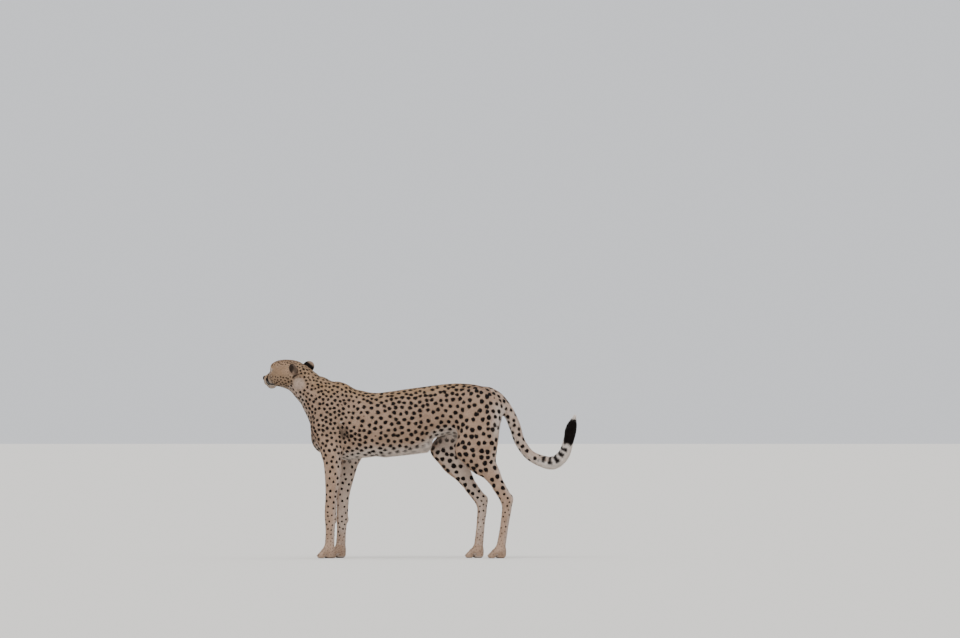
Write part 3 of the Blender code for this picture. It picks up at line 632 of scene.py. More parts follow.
class Strand:
    """A length of the body: a curve with radii and coats along it, and the side that is its underside."""

    def __init__(self, name, joints, under, flat=1.0):
        self.name, self.under, self.flat = name, np.array(under, float), flat
        self.line, self.radii = curve_through([(point, radius) for point, radius, _ in joints], 4)
        knots = np.arange(len(joints))
        at = np.linspace(0, len(joints) - 1, len(self.line))
        coats = np.array([COATS[coat] for _, _, coat in joints])
        self.coats = np.stack([np.interp(at, knots, coats[:, k]) for k in range(6)], axis=1)
        steps = size_of(np.diff(self.line, axis=0))
        self.along = np.concatenate(([0.0], np.cumsum(steps)))
        self.runs = unit(np.gradient(self.line, axis=0))

    def nearest(self, points):
        """For each point: how far outside the strand it lies, and the place along it, as a row number."""
        best = np.full(len(points), np.inf)
        place = np.zeros(len(points))
        for i, (a, b) in enumerate(zip(self.line, self.line[1:])):
            t, off = off_segment(points, a, b)
            off[:, 1] /= self.flat
            far = np.sqrt((off**2).sum(axis=1)) - (self.radii[i] + (self.radii[i + 1] - self.radii[i]) * t)
            closer = far < best
            best[closer] = far[closer]
            place[closer] = i + t[closer]
        return best, place

    def at(self, rows, place):
        """Values given for each row of the strand, at places between its rows."""
        i = np.minimum(place.astype(int), len(self.line) - 2)
        t = place - i
        t = t[:, None] if rows.ndim > 1 else t
        return rows[i] * (1 - t) + rows[i + 1] * t

    def round_about(self, points, place):
        """The angle about the strand, zero on its underside."""
        run = unit(self.at(self.runs, place))
        under = unit(self.under - run * (run @ self.under)[:, None])
        off = points - self.at(self.line, place)
        return np.arctan2((off * np.cross(run, under)).sum(axis=1), (off * under).sum(axis=1))


def strands():
    """The head, neck, trunk, legs, paws, tail and ears. Each runs the way its hair lies."""
    places = (
        (0.105, -0.026, 0.012, "face"),
        (0.080, -0.022, 0.034, "face"),
        (0.045, -0.004, 0.050, "face"),
        (0.005, 0.000, 0.062, "crown"),
        (-0.035, 0.000, 0.060, "crown"),
        (-0.080, -0.004, 0.044, "nape"),
    )
    joints = [(head_point(x, 0, z), radius, coat) for x, z, radius, coat in places]
    yield Strand("head", joints, HEAD_TURN @ np.array((0.0, 0.0, -1.0)))
    coats = ("neck", "neck", "nape", "neck", "nape", "nape")
    neck = [(point, radius, coat) for (point, radius), coat in zip(NECK, coats)][::-1]
    yield Strand("neck", neck[:-1] + [((-0.405, 0, 0.560), 0.085, "shoulder")], (-0.8, 0, -0.6), NECK_SLIM)
    kinds = dict(zip(TRUNK_X, ["shoulder"] * 3 + ["flank"] * 7 + ["rump"] * 3))
    trunk = [
        ((x, 0, (top + bottom) / 2), (top - bottom) / 2, kinds[x])
        for x, top, bottom in zip(TRUNK_X, TRUNK_TOP, TRUNK_BOTTOM)
    ]
    yield Strand("trunk", trunk, (0, 0, -1), 0.66)
    for name, leg, side, paw in LEGS:
        inward = (0.25, -side, 0)
        if name.startswith("fore"):
            order = {"shoulder": "shoulder", "elbow": "arm", "forearm": "shank", "shank": "shank"}
        else:
            order = {"hip": "thigh", "knee": "thigh", "calf": "thigh", "shin": "shin", "ankle": "shin"}
            order["hock"] = "foot"
        order |= {"carpus": "foot", "cannon": "foot", "knuckle": "paw"}
        joints = [(*leg[joint], coat) for joint, coat in order.items() if joint in leg]
        yield Strand(name, joints, inward, 0.8)
        x, y, _ = leg["knuckle"][0]
        places = ((x + 0.006, 0.040, 0.024), (x - 0.020, 0.028, 0.024), (x - paw[1], 0.012, 0.018))
        joints = [((x, y, z), radius, "paw") for x, z, radius in places]
        yield Strand("paw_" + name, joints, (0, 0, -1), 1.3)
    kinds = ["rump"] + ["tail"] * 9 + ["brush"] * 2
    yield Strand("tail", [(*joint, kind) for joint, kind in zip(TAIL, kinds)], (-1, 0, 0))
    for side, name in ((1, "ear_left"), (-1, "ear_right")):
        middle, turn = ear_frame(side)
        ends = (middle - turn[:, 2] * 0.014, middle + turn[:, 2] * 0.006, middle + turn[:, 2] * 0.024)
        yield Strand(name, [(end, 0.022, "ear") for end in ends], turn[:, 0], 1.0)


STRANDS = {strand.name: strand for strand in strands()}
NAMES = list(STRANDS)
LEG_NAMES = [name for name, *_ in LEGS]


def held(share, *names):
    """How strongly the named strands hold at each point, from 0 to 1."""
    return sum(share[:, NAMES.index(name)] for name in names)


STRAND_REACH, FADES_IN = 0.15, 0.010  # how far off a strand tells of the coat, and where its hold is 1/e


def lie_at(points):
    """The coat at points near the surface: how strongly each strand holds there (its share falls off with
    distance), the way the hair lies, the underside's direction, and the coat's six measures."""
    share = np.zeros((len(points), len(STRANDS)))
    lie, under, coat = (np.zeros((len(points), count)) for count in (3, 3, 6))
    for number, strand in enumerate(STRANDS.values()):
        far, place = strand.nearest(points)
        near = far < STRAND_REACH
        # All points deeper than 10 mm inside count alike
        weight = np.exp(-np.maximum(far[near], -0.01) / FADES_IN)
        share[near, number] = weight
        run = strand.at(strand.runs, place[near])
        lie[near] += weight[:, None] * run
        coat[near] += weight[:, None] * strand.at(strand.coats, place[near])
        below = np.broadcast_to(strand.under, run.shape)
        if strand.name == "tail":
            below = np.stack((run[:, 2], 0 * run[:, 1], -run[:, 0]), axis=1)
        under[near] += weight[:, None] * below
    total = np.maximum(share.sum(axis=1), 1e-9)
    return share / total[:, None], unit(lie), under / total[:, None], coat / total[:, None]


def above_belly(points):
    """How far points stand above the trunk's lower edge."""
    return points[:, 2] - profile(TRUNK_X, TRUNK_BOTTOM)(np.clip(points[:, 0], -0.40, 0.30))


def below_back(points, front=-0.40):
    """How far points lie below the trunk's upper edge, which is taken as level ahead of front."""
    return profile(TRUNK_X, TRUNK_TOP)(np.clip(points[:, 0], front, 0.30)) - points[:, 2]


def lengthened(points, coat, share):
    """Longer hair on the belly and the crest of the nape, very short round the eyes and the nose; and closer
    spots along the back."""
    coat = coat.copy()
    x, y, _ = points.T
    trunk = held(share, "trunk", "neck")
    belly = smooth(0.045, 0.0, above_belly(points)) * smooth(-0.36, -0.25, x) * trunk
    crest = smooth(0.035, 0.0, below_back(points)) * smooth(-0.16, -0.30, x) * trunk
    crest *= smooth(0.05, 0.0, np.abs(y))
    long = np.maximum(belly, 0.8 * crest)
    coat[:, DEPTH] += 3.6 * long
    coat[:, LENGTH] += 9.0 * long
    ridge = smooth(0.090, 0.030, below_back(points)) * smooth(-0.30, -0.20, x) * trunk
    coat[:, GAP] *= 1 - 0.14 * ridge
    coat[:, SPOT] *= 1 - 0.04 * ridge
    own = in_head(points)
    bare = smooth(0.010, 0.001, size_of(own - NOSE_AT) - 0.014)
    for side in (1, -1):
        centre, _ = eye_frame(side)
        bare = np.maximum(bare, smooth(0.008, 0.003, size_of(points - centre) - EYE_RADIUS))
    coat[:, DEPTH] *= 1 - 0.55 * bare
    coat[:, LENGTH] *= 1 - 0.45 * bare
    return coat


# --- Skin mesh


def grid_lines(start, *spans):
    """Grid lines along one axis, from (end, step) pairs after a start value."""
    lines = []
    for end, step in spans:
        count = max(1, round((end - start) / step))
        lines.append(start + (end - start) * np.arange(count) / count)
        start = end
    return np.concatenate(lines + [[start]])


FINE, MIDDLE, COARSE = ((0.0019, 0.0037, 0.0061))
GRID = (
    grid_lines(-0.745, (-0.525, FINE), (-0.450, MIDDLE), (0.73, COARSE)),
    grid_lines(-0.140, (-0.045, COARSE), (0.145, MIDDLE * 0.85)),
    grid_lines(-0.015, (0.060, MIDDLE * 0.9), (0.735, COARSE), (0.905, FINE * 1.1)),
)


def meshed(shapes, grid_axes):
    """Points and quads where the joined field is zero, on a grid that may be finer in places."""
    lines = [line.astype(np.float32) for line in grid_axes]
    field = np.full([len(line) for line in lines], EMPTY, np.float32)
    for shape in shapes:
        boxes = zip(lines, shape.low, shape.high)
        part = tuple(slice(*np.searchsorted(line, (low, high))) for line, low, high in boxes)
        x, y, z = (line[cut] for line, cut in zip(lines, part))
        if min(len(x), len(y), len(z)):
            field[part] = add_up(field[part], shape, x[:, None, None], y[None, :, None], z[None, None, :])
    grid = openvdb.FloatGrid(EMPTY)
    grid.copyFromArray(field)
    points, quads = grid.convertToQuads(0.0)
    at = [np.interp(points[:, axis], np.arange(len(lines[axis])), lines[axis]) for axis in range(3)]
    return np.stack(at, axis=1), quads.astype(np.int64)


def shift_to_frame():
    """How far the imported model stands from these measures: the left eye's middle tells."""
    low, high = (np.array(corner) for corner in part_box("eye_left"))
    return (low + high) / 2 - eye_frame(1)[0]


SHIFT = shift_to_frame()
SOLE = 0.0006  # the skin of the pads stands this far above the floor


def placed(name, data):
    """A new object in the scene."""
    made = bpy.data.objects.new(name, data)
    bpy.context.scene.collection.objects.link(made)
    return made


def mesh_piece(name, points, sizes, corners, material):
    """An object from whole arrays: points, the number of corners of each face, and the corners' points."""
    mesh = bpy.data.meshes.new(name)
    mesh.vertices.add(len(points))
    mesh.vertices.foreach_set("co", (points + SHIFT).astype(np.float32).ravel())
    mesh.loops.add(len(corners))
    mesh.loops.foreach_set("vertex_index", corners.astype(np.int32))
    mesh.polygons.add(len(sizes))
    starts = np.concatenate(([0], np.cumsum(sizes)[:-1]))
    mesh.polygons.foreach_set("loop_start", starts.astype(np.int32))
    mesh.materials.append(material)
    mesh.update(calc_edges=True)
    mesh.validate()
    mesh.shade_smooth()
    piece = placed(name, mesh)
    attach(piece, "root")
    return piece


def give(piece, **values):
    """Stores one number for each point of a piece, for its material to read."""
    for name, numbers in values.items():
        layer = piece.data.attributes.new(name, "FLOAT", "POINT")
        layer.data.foreach_set("value", numbers.astype(np.float32))


def face_sizes(points, quads):
    """The cross product of each face's diagonals: along its normal, and twice its area long."""
    return np.cross(points[quads[:, 2]] - points[quads[:, 0]], points[quads[:, 3]] - points[quads[:, 1]])


def summed(owner, values, count):
    """For each owner, the sum of the vectors that are its own."""
    return np.stack([np.bincount(owner, column, count) for column in values.T], axis=1)


def gathered(quads, values, count):
    """The sum at each point of its faces' values."""
    return summed(quads.ravel(), np.repeat(values, 4, axis=0), count)


def point_normals(points, quads):
    """Normals at the points: the sum of the faces' own, weighted by their size."""
    return unit(gathered(quads, face_sizes(points, quads), len(points)))


def relaxed(points, quads):
    """Evens out the mesh: each point moves halfway to the mean of its faces' middles."""
    counts = np.bincount(quads.ravel(), minlength=len(points))
    sums = gathered(quads, points[quads].mean(axis=1), len(points))
    return 0.5 * points + 0.5 * sums / counts[:, None]


FOLDED = OUTLINE + list(fold_shapes())
skin_points, skin_quads = meshed(FOLDED, GRID)
skin_points = relaxed(settle(FOLDED, skin_points, 0.0, 1), skin_quads)
share, lie, under, coat = lie_at(skin_points)
coat = lengthened(skin_points, coat, share)
skin_points = settle(FOLDED, skin_points, -coat[:, DEPTH] * MM)
skin_points[:, 2] = np.maximum(skin_points[:, 2], SOLE)
skin_normals = point_normals(skin_points, skin_quads)
lie = laid(lie, skin_normals)

# --- Markings: round spots, kept apart from each other, and the face's and tail's own marks, with painted shade in folds and hollows


R2_STEPS = (0.7548776662, 0.5698402910)  # 1/g and 1/g^2, where g^3 = g + 1


def scattered(points, quads, weight, count):
    """Random places on the surface, more where the weight at the corners is greater. Each is a triangle's
    corners and their shares, which step by the R2 sequence from a random start in each triangle."""
    triangles = np.concatenate((quads[:, [0, 1, 2]], quads[:, [0, 2, 3]]))
    a, b, c = (points[triangles[:, k]] for k in range(3))
    area = size_of(np.cross(b - a, c - a)) / 2
    mass = area * weight[triangles].mean(axis=1)
    expected = mass / mass.sum() * count
    counts = np.floor(expected + rng.random(len(expected))).astype(int)
    which = np.repeat(np.arange(len(triangles)), counts)
    order = np.arange(len(which))
    start = rng.random((len(triangles), 2))[which]
    u, v = ((start[:, k] + order * R2_STEPS[k]) % 1.0 for k in (0, 1))
    fold = u + v > 1
    u[fold], v[fold] = 1 - u[fold], 1 - v[fold]
    return triangles[which], np.stack((1 - u - v, u, v), axis=1)


def carried(values, corners, shares):
    """Values at places inside triangles, from the values at the corners."""
    picked = values[corners]
    return np.einsum("nk...,nk->n...", picked, shares)


def nearest_of(points, centres):
    """The row of the centre nearest to each point, a few thousand points at a time."""
    points, centres = points.astype(np.float32), centres.astype(np.float32)
    size = (centres**2).sum(axis=1)
    parts = [np.argmin(size - 2 * part @ centres.T, axis=1) for part in np.array_split(points, 24)]
    return np.concatenate(parts)


def kept_apart(place, gap, others=np.zeros((0, 3)), other_gap=np.zeros(0)):
    """Picks places in a random order, leaving out each nearer to a kept one than the mean of their gaps."""
    kept = np.concatenate((others, np.zeros_like(place)))
    kept_gap = np.concatenate((other_gap, np.zeros(len(place))))
    n, picked = len(others), []
    for i in rng.permutation(len(place)):
        apart = ((kept[:n] - place[i]) ** 2).sum(axis=1)
        if not n or (apart > (0.5 * (kept_gap[:n] + gap[i])) ** 2).all():
            kept[n], kept_gap[n] = place[i], gap[i]
            picked.append(i)
            n += 1
    return np.array(picked)


PLACES, STARTS, ROUNDS = 60_000, 25_000, 9  # places on the skin, how many of them may start a spot, and moves
START_GAP, KEPT_GAP = 0.80, 0.76  # how near centres may be before and after the moves, in the coat's own gaps
SMALL_GAP, LARGE_GAP = 0.60, 1.05  # the same for the small ones, and for the large ones they stand beside
SMALL_PART = 0.35  # how many of the small ones stay


def place_spots():
    """The spots: centre, normal, the way the hair runs, radius, and the outline's stretch, twist and waves.
    Centres start at random, kept apart; then each moves, ROUNDS times, to the middle of the places nearest
    to it, which spaces them evenly; then small ones go where room is left."""
    own = in_head(skin_points)
    gap = coat[:, GAP] * MM
    # None on the pads or the front of the muzzle
    free = (skin_points[:, 2] > 0.012) * 1.0
    free *= 1 - smooth(0.062, 0.074, own[:, 0]) * (held(share, "head") > 0.3)
    corners, shares = scattered(skin_points, skin_quads, free / gap**2, PLACES)
    place, gaps = carried(skin_points, corners, shares), carried(gap, corners, shares)
    some = rng.permutation(len(place))[:STARTS]
    picked = some[kept_apart(place[some], gaps[some] * START_GAP)]
    middles = place[picked]
    for _ in range(ROUNDS):
        owner = nearest_of(place, middles)
        middles = summed(owner, place, len(picked))
        middles /= np.maximum(np.bincount(owner, minlength=len(picked)), 1)[:, None]
    order = np.lexsort((size_of(place - middles[owner]), owner))
    _, first = np.unique(owner[order], return_index=True)
    picked = order[first]
    picked = picked[kept_apart(place[picked], gaps[picked] * KEPT_GAP)]
    room = some[kept_apart(place[some], gaps[some] * SMALL_GAP, place[picked], gaps[picked] * LARGE_GAP)]
    room = room[rng.random(len(room)) < SMALL_PART]
    size = np.concatenate((rng.uniform(0.88, 1.10, len(picked)), rng.uniform(0.30, 0.55, len(room))))
    picked = np.concatenate((picked, room))
    normal = unit(carried(skin_normals, corners, shares)[picked])
    run = laid(carried(lie, corners, shares)[picked], normal)
    radius = carried(coat[:, SPOT] * MM, corners, shares)[picked] * size
    count = len(picked)
    stretch, twist = rng.uniform(0.96, 1.14, count), rng.uniform(-0.5, 0.5, count)
    outline = np.stack((stretch, twist, *rng.uniform(0, 6.28, (2, count))), axis=1)
    return place[picked], normal, run, radius, outline


SPOTS = place_spots()
CLEAR = 0.012  # distances from the spots are held to this, in metres
WAVES = 0.06  # height of each of the two waves of a spot's edge, of its radius


def spot_distance(points):
    """Distance from each point to the nearest spot's edge, in metres, below zero inside. A spot is a circle
    drawn out a little along the hair, its edge waved by cosines of the angle about its centre."""
    order = np.argsort(points[:, 0])
    along = points[order, 0]
    nearest = np.full(len(points), CLEAR)
    for centre, normal, run, radius, (stretch, twist, wave_2, wave_3) in zip(*SPOTS):
        most = radius * 1.5 + 0.008
        picked = order[slice(*np.searchsorted(along, (centre[0] - most, centre[0] + most)))]
        off = points[picked] - centre
        near = (np.abs(off[:, 1]) < most) & (np.abs(off[:, 2]) < most)
        picked, off = picked[near], off[near]
        side = np.cross(normal, run)
        u, v, c, s = off @ run, off @ side, math.cos(twist), math.sin(twist)
        u, v = (u * c + v * s) / stretch, v * c - u * s
        far = np.sqrt(u * u + v * v + (off @ normal) ** 2)
        angle = np.arctan2(v, u)
        edge = radius * (1 + WAVES * np.cos(2 * angle + wave_2) + WAVES * np.cos(3 * angle + wave_3))
        nearest[picked] = np.minimum(nearest[picked], far - edge)
    return nearest


BANDS = (  # from the tail's tip in metres: middle of the band, half its width, how far round it reaches
    (0.141, 0.0080, -0.25),
    (0.170, 0.0090, -0.15),
    (0.203, 0.0105, -0.25),
    (0.238, 0.0095, -0.20),
    (0.272, 0.0090, -0.15),
)
BRUSH, TIP = 0.112, 0.019  # lengths of the dark brush with its pale tip, and of that tip
ON_TAIL = 0.03  # points farther than this from the tail's surface aren't on it


def tail_marks(points):
    """Dark bands on the tail's upper side in its last third, then the dark brush; and how white it is."""
    strand = STRANDS["tail"]
    far, place = strand.nearest(points)
    along = strand.at(strand.along, place)
    run = strand.at(strand.runs, place)
    upper = np.stack((-run[:, 2], 0 * run[:, 1], run[:, 0]), axis=1)
    off = (points - strand.at(strand.line, place)) / strand.at(strand.radii, place)[:, None]
    top = (off * upper).sum(axis=1)
    total = strand.along[-1]
    wave = 0.004 * np.sin(7.0 * off[:, 1])
    dark = np.zeros(len(points))
    for at, half, reach in BANDS:
        band = smooth(half + 0.0015, half - 0.0015, np.abs(along + wave - (total - at)))
        dark = np.maximum(dark, band * smooth(reach - 0.12, reach + 0.12, top))
    brush = smooth(-0.004, 0.004, along + 2 * wave - (total - BRUSH))
    dark = np.maximum(dark, brush * smooth(0.006, -0.002, along - total + TIP))
    white = smooth(0.30, 0.05, top) * smooth(total - 0.42, total - 0.26, along)
    white = np.maximum(white, smooth(total - 0.30, total - 0.20, along))
    return dark * (far < ON_TAIL), white * (far < ON_TAIL)


def pale_patch(own, side):
    """Distance in the head's frame from the middle of the pale, spotless patch behind the jaw."""
    return size_of(own - (-0.086, side * 0.046, -0.038))


FACE_SHADES = (  # name of a line, the distances from it between which the dark fades, and how dark it is
    ("lip", 0.0038, 0.0020, 1.00),
    ("behind_eye", 0.0060, 0.0015, 0.25),
    ("below_ear", 0.0062, 0.0036, 0.90),
    # painted shadow at the back of the jaw
    ("jaw_shadow", 0.0060, 0.0025, 0.55),
)


def face_marks(points, own, side):
    """How dark and how white one side of the face is: lids, the tear line, lips, the pale patch and a painted
    shadow at the back of the jaw.
    """
    gap = lid_gap(points, side)
    tear = line_distance(points, ON_FACE["tear", side]) - 0.0030 * smooth(-0.006, -0.028, own[:, 2])
    dark = np.maximum(smooth(0.0040, 0.0022, gap), smooth(0.0053, 0.0033, tear))
    for name, start, end, strength in FACE_SHADES:
        line = line_distance(points, ON_FACE[name, side])
        dark = np.maximum(dark, strength * smooth(start, end, line))
    white = 0.55 * smooth(0.0030, 0.0050, gap) * smooth(0.0120, 0.0070, gap)
    return dark, np.maximum(white, 0.28 * smooth(0.036, 0.018, pale_patch(own, side)))


def ear_marks_and_shade(points, normals, share, side):
    """How dark one ear is: a broad black band across its back, paler toward the tip with tan fur and a
    painted sheen, and painted shade in its cup, darkest at its front edge.
    """
    middle, turn = ear_frame(side)
    cup = (points - middle) @ turn
    facing = (normals * turn[:, 0]).sum(axis=1)
    inside = np.sqrt((((cup - EAR_CUP) / np.add(EAR_HOLLOW, 0.0012)) ** 2).sum(axis=1))
    own_ear = held(share, "ear_left" if side == 1 else "ear_right") > 0.35
    back = own_ear * smooth(0.0, -0.35, facing) * smooth(1.02, 1.12, inside)
    # The back pales toward the tip: partly the tip's tan fur, partly a painted sheen
    back = back * (0.30 + 0.70 * smooth(0.019, 0.008, cup[:, 2])) * smooth(-0.018, -0.006, cup[:, 2])
    # Painted shade in the cup, deepest at its front edge, lighter where pale hairs grow at its bottom
    front = smooth(0.006, -0.006, side * cup[:, 1] + 0.3 * cup[:, 2])
    opening = own_ear * smooth(-0.5, -0.2, facing) * smooth(-0.022, -0.014, cup[:, 2])
    hairs = 0.35 * smooth(-0.002, -0.012, cup[:, 2]) * (1 - front)
    return np.maximum(back, opening * (0.63 + 0.27 * front * smooth(1.40, 1.15, inside) - hairs))


def painted_leg_shade(points, name, leg, side, paw):
    """How dark one leg is: painted shade, with some dark skin, in the creases between the toes, and on a fore
    leg a painted shadow in the fold behind the arm.
    """
    dark = np.zeros(len(points))
    feet = np.flatnonzero(points[:, 2] < 0.05)
    # Painted shade in the creases between the toes, where the skin is also dark
    for line in toe_creases(leg, paw):
        dark[feet] = np.maximum(dark[feet], 0.50 * smooth(0.0050, 0.0031, line_distance(points[feet], line)))
    if name.startswith("fore"):
        z = points[:, 2]
        line = settle(OUTLINE, arm_fold(leg, side), 0.0)
        top, bottom = line[0, 2], line[-1, 2]
        # Painted shadow in the fold behind the upper arm, fading out at its top and bottom
        deep = smooth(0.0215, 0.0170, line_distance(points, line))
        deep *= smooth(top + 0.010, top - 0.030, z) * smooth(bottom - 0.012, bottom + 0.014, z)
        dark = np.maximum(dark, 0.62 * deep)
    return dark


def marks(points, normals, share, under):
    """How dark, white and golden the coat is at each point, each from 0 to 1. The dark holds the markings and
    the shade painted into ear hollows, toe creases, arm folds and along the jaw.
    """
    own = in_head(points)
    head = smooth(0.25, 0.6, held(share, "head"))
    facing = (normals * unit(under)).sum(axis=1)
    x, _, z = points.T
    neck, body, tail = (held(share, name) for name in ("neck", "trunk", "tail"))
    legs = held(share, *LEG_NAMES)
    # Pale undersides, seat and belly
    white = smooth(0.35, 0.80, facing) * (0.80 - 0.38 * legs) * (1 - 0.75 * neck)
    white *= 1 - legs * smooth(0.14, 0.06, z)
    behind = smooth(0.2, 0.7, normals[:, 0])
    seat = behind * smooth(0.50, 0.58, z) * smooth(0.72, 0.66, z) * smooth(0.26, 0.30, x)
    white = np.maximum(white, 0.7 * seat * smooth(0.395, 0.370, x))
    low = smooth(0.045, 0.0, above_belly(points))
    white = np.maximum(white, 0.78 * low * smooth(-0.38, -0.26, x) * smooth(0.3, 0.6, body))
    # Golden back, neck and head
    warm = 0.35 + 0.55 * smooth(0.07, 0.0, below_back(points, -0.45)) * body
    warm += 0.45 * neck * smooth(0.3, -0.5, facing)
    warm += 0.30 * head
    # The head
    muzzle = smooth(0.052, 0.070, own[:, 0]) * smooth(-0.012, -0.026, own[:, 2])
    chin = smooth(-0.040, -0.052, own[:, 2]) * smooth(-0.03, 0.02, own[:, 0])
    cheek = smooth(-0.040, -0.054, own[:, 2]) * smooth(-0.04, 0.02, own[:, 0])
    pale = np.maximum.reduce([0.20 * muzzle, 0.45 * chin, 0.48 * cheek])
    white = np.maximum(white * (1 - head), head * pale)
    dark = 0.16 * head * smooth(0.012, -0.008, own[:, 2]) * smooth(-0.07, -0.04, own[:, 0])
    for side in (1, -1):
        face_dark, face_white = face_marks(points, own, side)
        dark = np.maximum.reduce([dark, face_dark, ear_marks_and_shade(points, normals, share, side)])
        white = np.maximum(white, face_white)
    white *= 1 - smooth(0.2, 0.6, held(share, "ear_left", "ear_right"))
    leather = size_of((own - NOSE_AT) / NOSE_SIZE)
    dark = np.maximum(dark, smooth(1.10, 1.03, leather))
    # Legs with their painted shade in creases and folds, tail and pads
    for leg in LEGS:
        dark = np.maximum(dark, painted_leg_shade(points, *leg))
    bands, tail_white = tail_marks(points)
    shins = 0.34 * legs * behind * smooth(0.55, 0.45, z)
    white = np.maximum.reduce([white, 0.35 * tail, shins, tail_white])
    paws = held(share, *("paw_" + name for name in LEG_NAMES))
    pad = smooth(0.35, 0.6, paws) * smooth(-0.55, -0.85, normals[:, 2]) * smooth(0.020, 0.012, z)
    dark = np.maximum.reduce([dark, bands, 0.9 * pad])
    return dark, white * (1 - pad), np.clip(warm, 0, 1)


def spot_strength(points, share):
    """Where spots may show: not on the nose's bridge, temples, chin, pale patches, ears or tail's end, and
    faintly on the belly."""
    own = in_head(points)
    head = smooth(0.3, 0.6, held(share, "head"))
    strength = 1 - head * smooth(0.052, 0.066, own[:, 0])
    cheek_top = 0.006 * smooth(-0.02, 0.03, own[:, 0])
    temple = smooth(0.046, 0.036, own[:, 2]) * smooth(-0.010, 0.000, own[:, 2] - cheek_top)
    temple *= smooth(-0.050, -0.035, own[:, 0])
    strength *= 1 - 0.85 * head * temple
    for side in (1, -1):
        strength *= 1 - 0.9 * smooth(0.034, 0.024, pale_patch(own, side))
    strength *= 1 - head * smooth(-0.050, -0.058, own[:, 2])
    strength *= 1 - smooth(0.3, 0.6, held(share, "ear_left", "ear_right"))
    strand = STRANDS["tail"]
    far, place = strand.nearest(points)
    along = strand.at(strand.along, place)
    strength *= 1 - smooth(-0.300, -0.285, along - strand.along[-1]) * (far < ON_TAIL)
    belly = smooth(0.020, -0.005, above_belly(points)) * held(share, "trunk")
    return np.clip(strength, 0, 1) * (1 - 0.75 * belly)


dark, white, warm = marks(skin_points, skin_normals, share, under)
shown = spot_strength(skin_points, share)
spot = spot_distance(skin_points)

# --- Materials


def rgb(code):
    """Linear colour from an sRGB hex code."""
    parts = np.array([int(code[i : i + 2], 16) for i in (1, 3, 5)]) / 255
    return (*np.where(parts > 0.04045, ((parts + 0.055) / 1.055) ** 2.4, parts / 12.92), 1.0)


def add(tree, kind, inputs, output=0, **settings):
    """Adds a node with its settings and returns one of its outputs. Each input is a value or an output."""
    made = tree.nodes.new("ShaderNode" + kind)
    for key, value in settings.items():
        setattr(made, key, value)
    for key, value in inputs.items():
        if isinstance(value, bpy.types.NodeSocket):
            tree.links.new(value, made.inputs[key])
        else:
            made.inputs[key].default_value = value
    return made.outputs[output]


def eased(tree, value, start=0.3, end=0.7):
    """An S curve, 0 where the value is start and 1 where it is end. Most noise lies from 0.3 to 0.7."""
    how = {"Value": value, "From Min": start, "From Max": end}
    return add(tree, "MapRange", how, interpolation_type="SMOOTHSTEP")


def mixed(tree, share, one, other, **how):
    """One colour where the share is 0, the other where it is 1."""
    return add(tree, "Mix", {0: share, 6: one, 7: other}, 2, data_type="RGBA", **how)


def new_material(name, **values):
    """A material with only a Principled shader set to the values, its tree, and the place on the piece."""
    material = bpy.data.materials.new(name)
    material.use_nodes = True
    tree = material.node_tree
    shader = tree.nodes["Principled BSDF"]
    for key, value in values.items():
        shader.inputs[key.replace("_", " ")].default_value = value
    return material, tree, shader, add(tree, "TexCoord", {}, "Object")


def cloudy(name, size_mm, dark, pale, **values):
    """A material whose colour drifts between two, in clouds about size_mm across."""
    material, tree, shader, place = new_material(name, **values)
    cloud = add(tree, "TexNoise", {"Vector": place, "Scale": 1000 / size_mm, "Detail": 2.0})
    tree.links.new(mixed(tree, eased(tree, cloud), rgb(dark), rgb(pale)), shader.inputs["Base Color"])
    return material, tree, shader, place


FUR_PINK = rgb("#b49a8b")  # short flank fur, a pinkish sand
FUR_GOLD = rgb("#b19068")  # warmer along the back and on the neck
FUR_WHITE = rgb("#e9e1da")  # belly, chin and insides of the legs
# FUR_BLACK also darkens the shade painted into folds and hollows
FUR_BLACK = rgb("#0e0402")  # spots: black with a brown cast
MOTTLE = rgb("#8f7866"), rgb("#d9c3b0")  # the coat's cloudy drift in tone
HAIRS = rgb("#6b5a4e"), rgb("#ffffff")  # the grain of single hairs
SHADES = rgb("#5c5c5c"), rgb("#a8a8a8")  # how one tuft differs from the next
MOTTLE_MM, HAIR_MM, RAGGED_MM, BUMP_MM = 30.0, 2.2, 3.0, 1.6  # sizes of drift, grain, ragged edge and bumps
RAGGED, SOFT = 0.0024, 0.0007  # how far a spot's edge wanders, and half its softness, in metres


